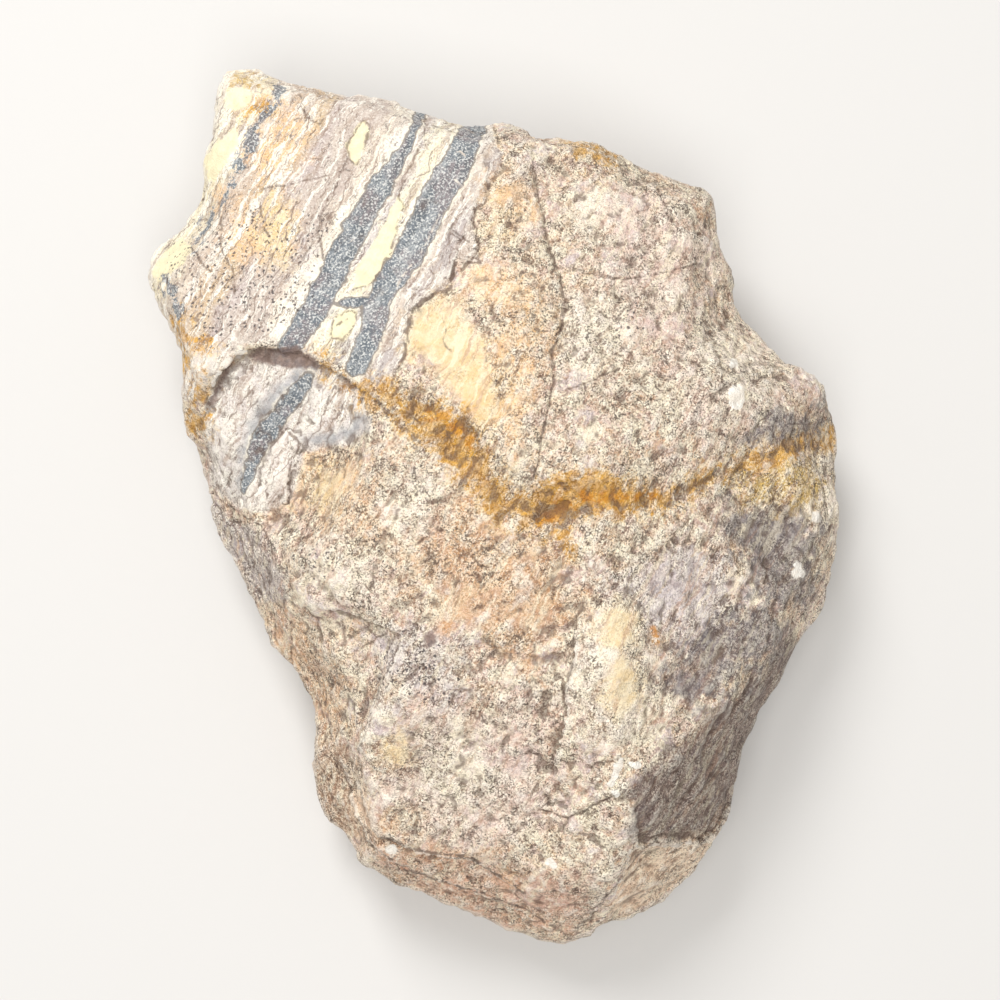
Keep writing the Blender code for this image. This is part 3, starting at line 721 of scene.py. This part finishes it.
def relief(stone):
    """How far the fracture surface stands out of the solid at each point, in millimetres."""
    points = read_points(stone.data)
    normals = read_points(stone.data, field="normal")
    places = lay_of_layers(points)
    folded = along_grain(points)

    # The dense ash and the cream zones break more smoothly than the clay does
    bedded = patch_reach(places, BEDDED_BORDER)
    rough = np.clip(0.75 - bedded / ASH_FADE, ASH_RELIEF, 1)
    rough = np.where(normals[:, 2] < SIDE_FACING, 1.0, rough)
    cream = best_reach(places, patches=SOFT_CREAM)
    rough *= 1 - CREAM_CALM * np.clip(0.5 + cream / CREAM_FADE, 0, 1)

    height = rock_noise(points, SWELLS[0], 3, 1) * SWELLS[1] * rough
    height += (creased_noise(folded, CREASES[0], 4) - 0.5) * CREASES[1] * rough
    height += rock_noise(folded, CRUMBLE[0], 3, 2) * CRUMBLE[1] * rough
    for seed, (size, ragged, thickness) in enumerate(FLAKES, 1):
        height += flake_steps(points, size, ragged, seed) * thickness * rough

    lit = np.clip(normals[:, 2] * 3, 0, 1)
    for jump, crest, spread, route in BREAKS:
        height += break_height(places, jump, crest, spread, route) * lit
    for strokes, rise, border, softness in GROOVES_AND_CHIPS:
        height += rise * np.clip(border + best_reach(places, strokes=strokes) / softness, 0, 1)
    rust = np.clip(0.5 + best_reach(places, strokes=RUST_VEIN) / 8.0, 0, 1)
    height += RUST_CRUST[1] * rust * rock_noise(points, RUST_CRUST[0], 2, 5)
    return points, normals, height


def work_surface(stone):
    """Moves the skin by its relief and keeps the face that the stone rests on flat."""
    points, normals, height = relief(stone)
    resting = (points[:, 2] < REST_HEIGHT * MM) & (normals[:, 2] < DOWN_FACING)
    calm = np.clip(points[:, 2] / (CALM_HEIGHT * MM), 0, 1)
    moved = points + normals * (height * calm * MM)[:, None]
    moved[:, 2] = np.where(resting, 0, np.maximum(moved[:, 2], 0))
    stone.data.vertices.foreach_set("co", moved.astype(np.float32).ravel())
    stone.data.update()


def neighbour_mean(values, edges, count):
    """The mean of each point's neighbours."""
    total = np.zeros_like(values)
    for axis in range(values.shape[1]):
        total[:, axis] += np.bincount(edges[:, 0], values[edges[:, 1], axis], len(values))
        total[:, axis] += np.bincount(edges[:, 1], values[edges[:, 0], axis], len(values))
    return total / count[:, None]


def ridges(stone):
    """How far each point stands above its surroundings, in millimetres: ridges plus, hollows minus."""
    mesh = stone.data
    edges = np.zeros(len(mesh.edges) * 2, np.int32)
    mesh.edges.foreach_get("vertices", edges)
    edges = edges.reshape(-1, 2)
    points = read_points(mesh)
    count = np.maximum(np.bincount(edges.ravel(), minlength=len(points)), 1)
    smooth = points
    for _ in range(RIDGE_ROUNDS):
        smooth = neighbour_mean(smooth, edges, count)
    normals = read_points(mesh, field="normal")
    return np.sum((points - smooth) * normals, axis=1) / MM


def write_field(mesh, name, values):
    """Stores one number for each point, which the material reads by name."""
    field = mesh.attributes.new(name, "FLOAT", "POINT")
    field.data.foreach_set("value", values.astype(np.float32))


def map_rock(stone):
    """Writes where each kind of rock lies: all reaches are in millimetres, plus inside and minus outside."""
    mesh = stone.data
    points = read_points(mesh)
    places = lay_of_layers(points)
    for name, (strokes, patches) in ROCK_FIELDS.items():
        reach = best_reach(places, strokes, patches) / PIXELS_PER_MM
        write_field(mesh, name, np.clip(reach, -FIELD_LIMIT, FIELD_LIMIT))
    layer = places[:, 0] * ACROSS[0] + places[:, 1] * ACROSS[1]
    write_field(mesh, "layer", (layer - LAYER_START) / (LAYER_END - LAYER_START))
    write_field(mesh, "ridge", np.clip(ridges(stone), -RIDGE_LIMIT, RIDGE_LIMIT))


def add_node(tree, kind, settings=None, inputs=None):
    """Adds a node with its settings, and links or fills its inputs."""
    node = tree.nodes.new(kind)
    for name, value in (settings or {}).items():
        setattr(node, name, value)
    for name, value in (inputs or {}).items():
        if isinstance(value, bpy.types.NodeSocket):
            tree.links.new(value, node.inputs[name])
        else:
            node.inputs[name].default_value = value
    return node


def shared_noises(tree, place):
    """Three noises that every kind of rock draws on, each with three channels: far, near and fine."""
    lanes = {}
    for name, size, detail in NOISE_LANES:
        drift = add_node(tree, "ShaderNodeTexNoise", None,
                         {"Vector": place, "Scale": per_mm(size), "Detail": detail, "Roughness": 0.66})
        parts = add_node(tree, "ShaderNodeSeparateColor", None, {"Color": drift.outputs["Color"]})
        lanes[name] = [parts.outputs[channel] for channel in ("Red", "Green", "Blue")]
    return lanes


def lay_where(tree, below, above, value, low, high, strength=1.0):
    """Lays a colour over what is below it, growing as a value goes from low to high."""
    share = add_node(tree, "ShaderNodeMapRange", {"interpolation_type": "SMOOTHSTEP"},
                     {"Value": value, "From Min": low, "From Max": high, "To Max": strength})
    mix = add_node(tree, "ShaderNodeMix", {"data_type": "RGBA"},
                   {0: share.outputs["Result"], 6: below, 7: above})
    return mix.outputs[2]


def lay_coats(tree, below, coats):
    """Lays colours one over another. Each coat has its colour, value, low, high and strength."""
    for colour, value, low, high, strength in coats:
        below = lay_where(tree, below, linear(colour), value, low, high, strength)
    return below


def interrupted(tree, value, chance, low, high, least, most=0.0):
    """A value shifted by the least where chance is low, so that what it draws frays or breaks off there."""
    shift = add_node(tree, "ShaderNodeMapRange", None,
                     {"Value": chance, "From Min": low, "From Max": high, "To Min": least, "To Max": most})
    return add_node(tree, "ShaderNodeMath", {"operation": "ADD"},
                    {0: value, 1: shift.outputs["Result"]}).outputs[0]


def wandering_reach(tree, lanes, field, lane, far, near):
    """A field's reach whose border wanders by so many millimetres, far and near."""
    reach = add_node(tree, "ShaderNodeAttribute", {"attribute_name": field}).outputs["Fac"]
    for kind, wander in (("far", far), ("near", near)):
        reach = add_node(tree, "ShaderNodeMath", {"operation": "MULTIPLY_ADD"},
                         {0: lanes[kind][lane], 1: wander * WANDER_GAIN, 2: reach}).outputs[0]
    return add_node(tree, "ShaderNodeMath", {"operation": "SUBTRACT"},
                    {0: reach, 1: (far + near) * WANDER_GAIN / 2}).outputs[0]


def stain(tree, below, lanes, field, colours, lane, soft, far, near, strength, gaps=None):
    """Lays a kind of rock over what is below: mottled colours, a wandering border, and gaps if it frays."""
    reach = wandering_reach(tree, lanes, field, lane, far, near)
    if gaps is not None:
        reach = interrupted(tree, reach, lanes["near"][(lane + 1) % 3], gaps - 0.05, gaps + 0.05, -1.5)
    mottle = lanes["near"][(lane + 2) % 3]
    pigment = lay_where(tree, linear(colours[0]), linear(colours[1]), mottle, 0.4, 0.6)
    return lay_where(tree, below, pigment, reach, -soft, soft, strength)


def stain_in_turn(tree, below, lanes, stains):
    """Lays several kinds of rock one over another."""
    for settings in stains:
        below = stain(tree, below, lanes, *settings)
    return below


def thread_gap(tree, value):
    """Distance of a noise from its middle value: near nought along fine winding threads."""
    offset = add_node(tree, "ShaderNodeMath", {"operation": "SUBTRACT"}, {0: value, 1: 0.5})
    return add_node(tree, "ShaderNodeMath", {"operation": "ABSOLUTE"}, {0: offset.outputs[0]}).outputs[0]


def shaken(tree, place, lane, amount):
    """The place moved by a noise of so many metres, so that what is drawn there comes out ragged."""
    shake = add_node(tree, "ShaderNodeCombineXYZ", None, {"X": lane[0], "Y": lane[1], "Z": lane[2]})
    return add_node(tree, "ShaderNodeVectorMath", {"operation": "MULTIPLY_ADD"},
                    {0: shake.outputs[0], 1: [amount] * 3, 2: place}).outputs[0]


def clasts(tree, place, lanes, size):
    """Ragged crumbs of that size: a random number for each, and the distance from its middle."""
    ragged = shaken(tree, place, lanes["fine"], size * 1.1 * MM)
    cells = add_node(tree, "ShaderNodeTexVoronoi", None, {"Vector": ragged, "Scale": per_mm(size)})
    pick = add_node(tree, "ShaderNodeSeparateColor", None, {"Color": cells.outputs["Color"]})
    return pick.outputs, cells.outputs["Distance"]


def grain_share(tree, lanes):
    """How gritty the fracture is: full on the clay, in drifts, less on dense ash and on the cream zones."""
    dense = add_node(tree, "ShaderNodeAttribute", {"attribute_name": "dense"}).outputs["Fac"]
    cream = add_node(tree, "ShaderNodeAttribute", {"attribute_name": "soft_cream"}).outputs["Fac"]
    limits = [(dense, -0.5, 1.5, 1.0, 0.15), (cream, -0.5, 1.5, 1.0, 0.4),
              (lanes["far"][1], 0.42, 0.60, 1.15, 0.45)]
    share = 1.0
    for value, low, high, most, least in limits:
        left = add_node(tree, "ShaderNodeMapRange", None,
                        {"Value": value, "From Min": low, "From Max": high, "To Min": most, "To Max": least})
        share = add_node(tree, "ShaderNodeMath", {"operation": "MULTIPLY"},
                         {0: share, 1: left.outputs["Result"]}).outputs[0]
    return share


def growth_lines(tree, place, lanes):
    """Thin winding lines along which the silica grew, broken here and there: near 1 on a line."""
    swirl = add_node(tree, "ShaderNodeTexNoise", None,
                     {"Vector": place, "Scale": per_mm(5.0), "Detail": 2, "Roughness": 0.5,
                      "Distortion": 0.4})
    rounds = add_node(tree, "ShaderNodeMath", {"operation": "MULTIPLY"}, {0: swirl.outputs["Fac"], 1: 5.0})
    layer = add_node(tree, "ShaderNodeAttribute", {"attribute_name": "layer"})
    rounds = add_node(tree, "ShaderNodeMath", {"operation": "MULTIPLY_ADD"},
                      {0: layer.outputs["Fac"], 1: 60.0, 2: rounds.outputs[0]})
    wave = add_node(tree, "ShaderNodeMath", {"operation": "PINGPONG"}, {0: rounds.outputs[0], 1: 1.0})
    dense = add_node(tree, "ShaderNodeAttribute", {"attribute_name": "dense"}).outputs["Fac"]
    lines = interrupted(tree, wave.outputs[0], lanes["far"][1], 0.44, 0.52, -0.4)
    return interrupted(tree, lines, dense, 0.0, 1.0, -1.0)


def crinkles(tree, place, size):
    """Distance from the nearest crevice of a crumpled fracture, drawn out along the stone's grain."""
    drawn = add_node(tree, "ShaderNodeMapping", {"vector_type": "TEXTURE"},
                     {"Vector": place, "Rotation": (0.0, 0.0, GRAIN_TURN),
                      "Scale": (1.0, GRAIN_STRETCH, 1.0)})
    fold = add_node(tree, "ShaderNodeTexNoise", None,
                    {"Vector": drawn.outputs[0], "Scale": per_mm(size), "Detail": 3, "Roughness": 0.6,
                     "Distortion": 0.5})
    return thread_gap(tree, fold.outputs["Fac"])


def gritty(tree, below, lanes, pick, folds):
    """Clay's broken surface: clustered pale crumbs, brown crevices between them, and a few dark pits."""
    crumbs = add_node(tree, "ShaderNodeMath", {"operation": "MULTIPLY_ADD"},
                      {0: lanes["near"][1], 1: 0.5, 2: folds})
    crevices = add_node(tree, "ShaderNodeMath", {"operation": "MULTIPLY_ADD"},
                        {0: lanes["near"][2], 1: 0.4, 2: folds})
    pits = add_node(tree, "ShaderNodeMath", {"operation": "MULTIPLY_ADD"},
                    {0: lanes["near"][1], 1: 0.5, 2: lanes["fine"][1]})
    hairline = interrupted(tree, thread_gap(tree, lanes["far"][2]), lanes["near"][0], 0.42, 0.50, 0.1)
    grit = lay_coats(tree, below, [
        ("#fff6e2", crumbs.outputs[0], 0.32, 0.38, 0.75),
        ("#fff4da", pick["Green"], 0.72, 0.78, 0.5),
        ("#b08c75", pick["Blue"], 0.76, 0.84, 0.5),
        ("#fff4e0", lanes["fine"][0], 0.52, 0.57, 0.85),
        ("#82644f", lanes["fine"][2], 0.54, 0.60, 0.75),
        ("#7a5a46", crevices.outputs[0], 0.215, 0.175, 0.8),
        ("#3d2c23", pits.outputs[0], 0.87, 0.91, 0.85),
        ("#554033", hairline, 0.015, 0.003, 0.8),
    ])
    tinted = add_node(tree, "ShaderNodeMix", {"data_type": "RGBA", "blend_type": "COLOR"},
                      {0: 0.35, 6: grit, 7: below})
    return tinted.outputs[2]


def streaks(tree, place, lanes):
    """Three random values in streaks as thin as thread, drawn out along the bedding and wavering with it."""
    drawn = add_node(tree, "ShaderNodeMapping", {"vector_type": "TEXTURE"},
                     {"Vector": shaken(tree, place, lanes["far"], 4.0 * MM),
                      "Rotation": (0.0, 0.0, BEDDING_TURN), "Scale": (1.0, 12.0, 5.0)})
    streak = add_node(tree, "ShaderNodeTexNoise", None,
                      {"Vector": drawn.outputs[0], "Scale": per_mm(1.1), "Detail": 4, "Roughness": 0.7})
    return add_node(tree, "ShaderNodeSeparateColor", None, {"Color": streak.outputs["Color"]}).outputs


def laminated(tree, below, place, lanes, streak):
    """Dense ash: pale and dun laminae, thin dark partings, dusty specks, and the lines of its growth."""
    parting = interrupted(tree, thread_gap(tree, streak["Blue"]), lanes["near"][0], 0.44, 0.52, 0.1)
    return lay_coats(tree, below, [
        ("#fdf7ea", streak["Red"], 0.52, 0.58, 0.8),
        ("#ad9686", streak["Green"], 0.52, 0.60, 0.7),
        ("#8b7568", lanes["fine"][2], 0.54, 0.62, 0.45),
        ("#fffaf0", lanes["fine"][0], 0.54, 0.60, 0.4),
        ("#5e4c44", parting, 0.022, 0.006, 0.8),
        ("#806a5c", growth_lines(tree, place, lanes), 0.84, 0.96, 0.7),
    ])


def clay_ground(tree, place, lanes):
    """The ground mass: fine silicified clay, cream grains in pinkish beige, with lilac drifts."""
    mottle = add_node(tree, "ShaderNodeTexNoise", None,
                      {"Vector": place, "Scale": per_mm(3.6), "Detail": 5, "Roughness": 0.6,
                       "Distortion": 0.5})
    drift = add_node(tree, "ShaderNodeSeparateColor", None, {"Color": mottle.outputs["Color"]}).outputs
    ground = lay_where(tree, linear("#ebcda9"), linear("#e8cbba"), lanes["far"][0], 0.42, 0.58)
    return lay_coats(tree, ground, [
        ("#cfc1c2", lanes["far"][1], 0.49, 0.60, 0.85),
        ("#d8a87e", lanes["far"][2], 0.52, 0.63, 0.8),
        ("#c9ab9e", drift["Blue"], 0.51, 0.59, 0.8),
        ("#fdf0d4", drift["Red"], 0.50, 0.56, 0.95),
        ("#c49c80", drift["Green"], 0.55, 0.61, 0.7),
        ("#fff4dc", lanes["near"][0], 0.54, 0.61, 0.8),
    ])


def bedded_ash(tree, lanes):
    """Bedded volcanic ash: colours by layer, whose borders waver along the bedding."""
    layer = add_node(tree, "ShaderNodeAttribute", {"attribute_name": "layer"})
    bent = add_node(tree, "ShaderNodeMath", {"operation": "MULTIPLY_ADD"},
                    {0: lanes["far"][0], 1: LAYER_WAVER, 2: layer.outputs["Fac"]})
    centred = add_node(tree, "ShaderNodeMath", {"operation": "SUBTRACT"},
                       {0: bent.outputs[0], 1: LAYER_WAVER / 2})
    ramp = add_node(tree, "ShaderNodeValToRGB", None, {"Fac": centred.outputs[0]})
    stops = ramp.color_ramp.elements
    while len(stops) > 1:
        stops.remove(stops[-1])
    for number, (place_across, colour) in enumerate(LAYER_COLOURS):
        position = (place_across - LAYER_START) / (LAYER_END - LAYER_START)
        stop = stops[0] if number == 0 else stops.new(position)
        stop.position = position
        stop.color = linear(colour)
    return ramp.outputs["Color"]


def lay_slate(tree, below, lanes, streak):
    """Slate-grey ash with a dark rim: blue grey with mauve drifts, streaked and dusted, in part broken up."""
    slate = lay_where(tree, linear("#868c91"), linear("#6a727a"), lanes["near"][2], 0.42, 0.56)
    slate = lay_coats(tree, slate, [
        ("#8b7f80", lanes["far"][2], 0.48, 0.58, 0.85),
        ("#b4b7b7", streak["Red"], 0.50, 0.58, 0.5),
        ("#565d62", streak["Green"], 0.52, 0.60, 0.6),
        ("#e9e8e3", lanes["fine"][1], 0.52, 0.58, 0.75),
        ("#50575c", lanes["fine"][2], 0.53, 0.60, 0.65),
    ])
    reach = wandering_reach(tree, lanes, "slate", 1, 0.2, 0.35)
    colour = lay_where(tree, below, linear("#665c57"), reach, -0.34, -0.2, 0.75)
    colour = lay_where(tree, colour, slate, reach, -0.15, 0.15, 0.97)
    pieces = wandering_reach(tree, lanes, "broken", 2, 0.5, 0.9)
    pieces = interrupted(tree, pieces, lanes["near"][0], 0.42, 0.54, -1.5)
    return lay_where(tree, colour, slate, pieces, -0.2, 0.2, 0.95)


def dark_specks(tree, lanes, pick, distance):
    """Crumbs of dark mineral, larger towards the middle of the specked ground: above nought on a crumb."""
    size = add_node(tree, "ShaderNodeMapRange", None,
                    {"Value": wandering_reach(tree, lanes, "specked", 1, 1.0, 3.0),
                     "From Min": -1.0, "From Max": 1.5, "To Min": -0.5, "To Max": 0.36})
    inside = add_node(tree, "ShaderNodeMath", {"operation": "SUBTRACT"},
                      {0: size.outputs["Result"], 1: distance})
    picked = add_node(tree, "ShaderNodeMath", {"operation": "LESS_THAN"}, {0: pick["Red"], 1: 0.6})
    return add_node(tree, "ShaderNodeMath", {"operation": "MULTIPLY"},
                    {0: inside.outputs[0], 1: picked.outputs[0]}).outputs[0]


def rusty_threads(tree, rust, folds):
    """Dark rust that fills the crevices of the vein: high along them."""
    threads = add_node(tree, "ShaderNodeMapRange", None,
                       {"Value": folds, "From Min": 0.0, "From Max": 0.03, "To Min": 1.0, "To Max": -1.0})
    return add_node(tree, "ShaderNodeMath", {"operation": "MINIMUM"},
                    {0: rust, 1: threads.outputs["Result"]}).outputs[0]


def crumbled_finish(tree, colour, lanes, folds, grained):
    """The broken surface: bumps too fine for the mesh, and a dull shine that varies from grain to grain."""
    crumbs = add_node(tree, "ShaderNodeMath", {"operation": "MULTIPLY"}, {0: folds, 1: grained})
    pores = add_node(tree, "ShaderNodeMath", {"operation": "MULTIPLY_ADD"},
                     {0: lanes["fine"][0], 1: 0.25, 2: crumbs.outputs[0]})
    bump = add_node(tree, "ShaderNodeBump", None,
                    {"Strength": 1.0, "Distance": BUMP_DEPTH * MM, "Height": pores.outputs[0]})
    shine = add_node(tree, "ShaderNodeMapRange", None,
                     {"Value": lanes["near"][1], "From Min": 0.3, "From Max": 0.7,
                      "To Min": 0.55, "To Max": 0.85})
    surface = add_node(tree, "ShaderNodeBsdfPrincipled", None,
                       {"Base Color": colour, "Roughness": shine.outputs["Result"], "IOR": QUARTZ_IOR,
                        "Normal": bump.outputs["Normal"]})
    add_node(tree, "ShaderNodeOutputMaterial", None, {"Surface": surface.outputs["BSDF"]})


def porcelain_jasper():
    """Porcelain jasper: silicified clay and ash, broken by hand.

    It looks dull and chalky, and glints only on grains of quartz. Hollows get painted shade, crests a painted
    highlight.
    """
    material = bpy.data.materials.new("silicified_clay_rough_fracture")
    material.use_nodes = True
    tree = material.node_tree
    tree.nodes.clear()
    place = add_node(tree, "ShaderNodeTexCoord").outputs["Object"]
    ridge = add_node(tree, "ShaderNodeAttribute", {"attribute_name": "ridge"}).outputs["Fac"]
    lanes = shared_noises(tree, place)
    streak = streaks(tree, place, lanes)
    pick, distance = clasts(tree, place, lanes, CLAST_SIZE)
    folds = crinkles(tree, place, CREVICE_SIZE)
    grained = grain_share(tree, lanes)
    rust = wandering_reach(tree, lanes, "rust", 1, 1.6, 2.0)
    rust = interrupted(tree, rust, lanes["near"][2], 0.42, 0.52, -1.8, 0.3)
    gold = lay_where(tree, linear("#e3ac48"), linear("#c08a30"), lanes["near"][0], 0.42, 0.56)

    colour = clay_ground(tree, place, lanes)
    bedded = wandering_reach(tree, lanes, "bedded", 0, 0.2, 0.4)
    colour = lay_where(tree, colour, bedded_ash(tree, lanes), bedded, -0.3, 0.3)
    colour = stain_in_turn(tree, colour, lanes, GROUND_STAINS)
    colour = lay_where(tree, colour, linear("#e3c084"), rust, -3.0, -0.4, 0.8)
    colour = lay_where(tree, colour, gold, rust, -1.4, -0.2, 0.95)

    ash = laminated(tree, colour, place, lanes, streak)
    colour = lay_where(tree, colour, linear("#fbeccd"), streak["Red"], 0.53, 0.60, 0.6)
    colour = lay_where(tree, colour, linear("#b98f74"), streak["Green"], 0.54, 0.62, 0.55)
    dense = wandering_reach(tree, lanes, "dense", 0, 0.0, 0.3)
    colour = lay_where(tree, colour, ash, dense, -0.2, 0.3)
    # Painted highlight: crests that stand out of the surface are made paler
    colour = lay_where(tree, colour, linear("#fff7ea"), ridge, 0.05, 0.25, 0.5)
    colour = lay_where(tree, colour, gritty(tree, colour, lanes, pick, folds), grained, 0.0, 1.0)

    colour = lay_where(tree, colour, gold, rust, -0.5, 1.0, 0.5)
    colour = stain_in_turn(tree, colour, lanes, STAINS_OVER_GRIT)
    rim = wandering_reach(tree, lanes, "slate", 2, 0.4, 0.6)
    colour = lay_where(tree, colour, linear("#fbf2de"), rim, -0.8, -0.2, 0.55)
    colour = stain(tree, colour, lanes, *CREAM_STAIN)
    colour = lay_slate(tree, colour, lanes, streak)
    colour = stain_in_turn(tree, colour, lanes, STAINS_OVER_SLATE)
    specks = dark_specks(tree, lanes, pick, distance)
    colour = lay_where(tree, colour, linear("#4f4746"), specks, 0.0, 0.12, 0.9)
    colour = stain_in_turn(tree, colour, lanes, STAINS_OVER_SPECKS)
    colour = lay_where(tree, colour, linear("#5b3a1c"), rusty_threads(tree, rust, folds), -0.2, 0.4, 0.7)
    colour = stain(tree, colour, lanes, *SEAM_STAIN)
    # Painted shade: hollows that sink below the surface are made darker
    colour = lay_where(tree, colour, linear("#5f4a3e"), ridge, -0.04, -0.22, 0.65)
    crumbled_finish(tree, colour, lanes, folds, grained)
    return material


def plain_material(name, colour, roughness):
    """Painted board, matt and even, so that nothing but the stone draws the eye."""
    material = bpy.data.materials.new(name)
    material.use_nodes = True
    surface = material.node_tree.nodes["Principled BSDF"]
    surface.inputs["Base Color"].default_value = linear(colour)
    surface.inputs["Roughness"].default_value = roughness
    return material


def place_camera():
    """A camera over the stone, tilted a little towards its near side."""
    lens = bpy.data.cameras.new("camera")
    lens.lens = CAMERA_LENS
    lens.sensor_width = SENSOR_WIDTH
    camera = bpy.data.objects.new("camera", lens)
    back = Vector((0, -math.sin(CAMERA_TILT), math.cos(CAMERA_TILT)))
    camera.location = AIM + back * CAMERA_DISTANCE
    camera.rotation_euler = (CAMERA_TILT, 0, 0)
    bpy.context.scene.collection.objects.link(camera)
    bpy.context.scene.camera = camera


def add_lamp(name, size, energy, distance, height_angle, turn_angle):
    """A soft square lamp that faces the stone. Azimuth 0 is the far side, growing to the right."""
    elevation = math.radians(height_angle)
    azimuth = math.radians(turn_angle)
    data = bpy.data.lights.new(name, "AREA")
    data.size = size
    data.energy = energy
    lamp = bpy.data.objects.new(name, data)
    level = math.cos(elevation) * distance
    lamp.location = (level * math.sin(azimuth), level * math.cos(azimuth), math.sin(elevation) * distance)
    lamp.rotation_euler = Vector(lamp.location).to_track_quat("Z", "Y").to_euler()
    bpy.context.scene.collection.objects.link(lamp)


def studio():
    """A pale floor, soft lamps from the far side and from above, and even light from all round."""
    bpy.ops.mesh.primitive_plane_add(size=FLOOR_SIZE, location=(0, 0, -FLOOR_DROP))
    floor = bpy.context.object
    floor.name = "floor"
    floor.data.materials.append(plain_material("matt_board", "#d8d6d3", 0.8))
    for lamp in LAMPS:
        add_lamp(*lamp)
    world = bpy.data.worlds.new("even_light")
    world.use_nodes = True
    sky = world.node_tree.nodes["Background"]
    sky.inputs["Color"].default_value = linear("#f4f2ef")
    sky.inputs["Strength"].default_value = SKY_STRENGTH
    bpy.context.scene.world = world
    bpy.context.scene.view_settings.view_transform = "Standard"


def main():
    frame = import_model()
    noise.seed_set(NOISE_SEED)
    place_camera()
    studio()
    stone = even_skin(frame["nodes"]["jasper_stone"])
    refine_skin(stone)
    work_surface(stone)
    map_rock(stone)
    stone.data.materials.clear()
    stone.data.materials.append(porcelain_jasper())
    stone.data.shade_smooth()
    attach(stone, "root")
    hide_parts("jasper_stone")


main()
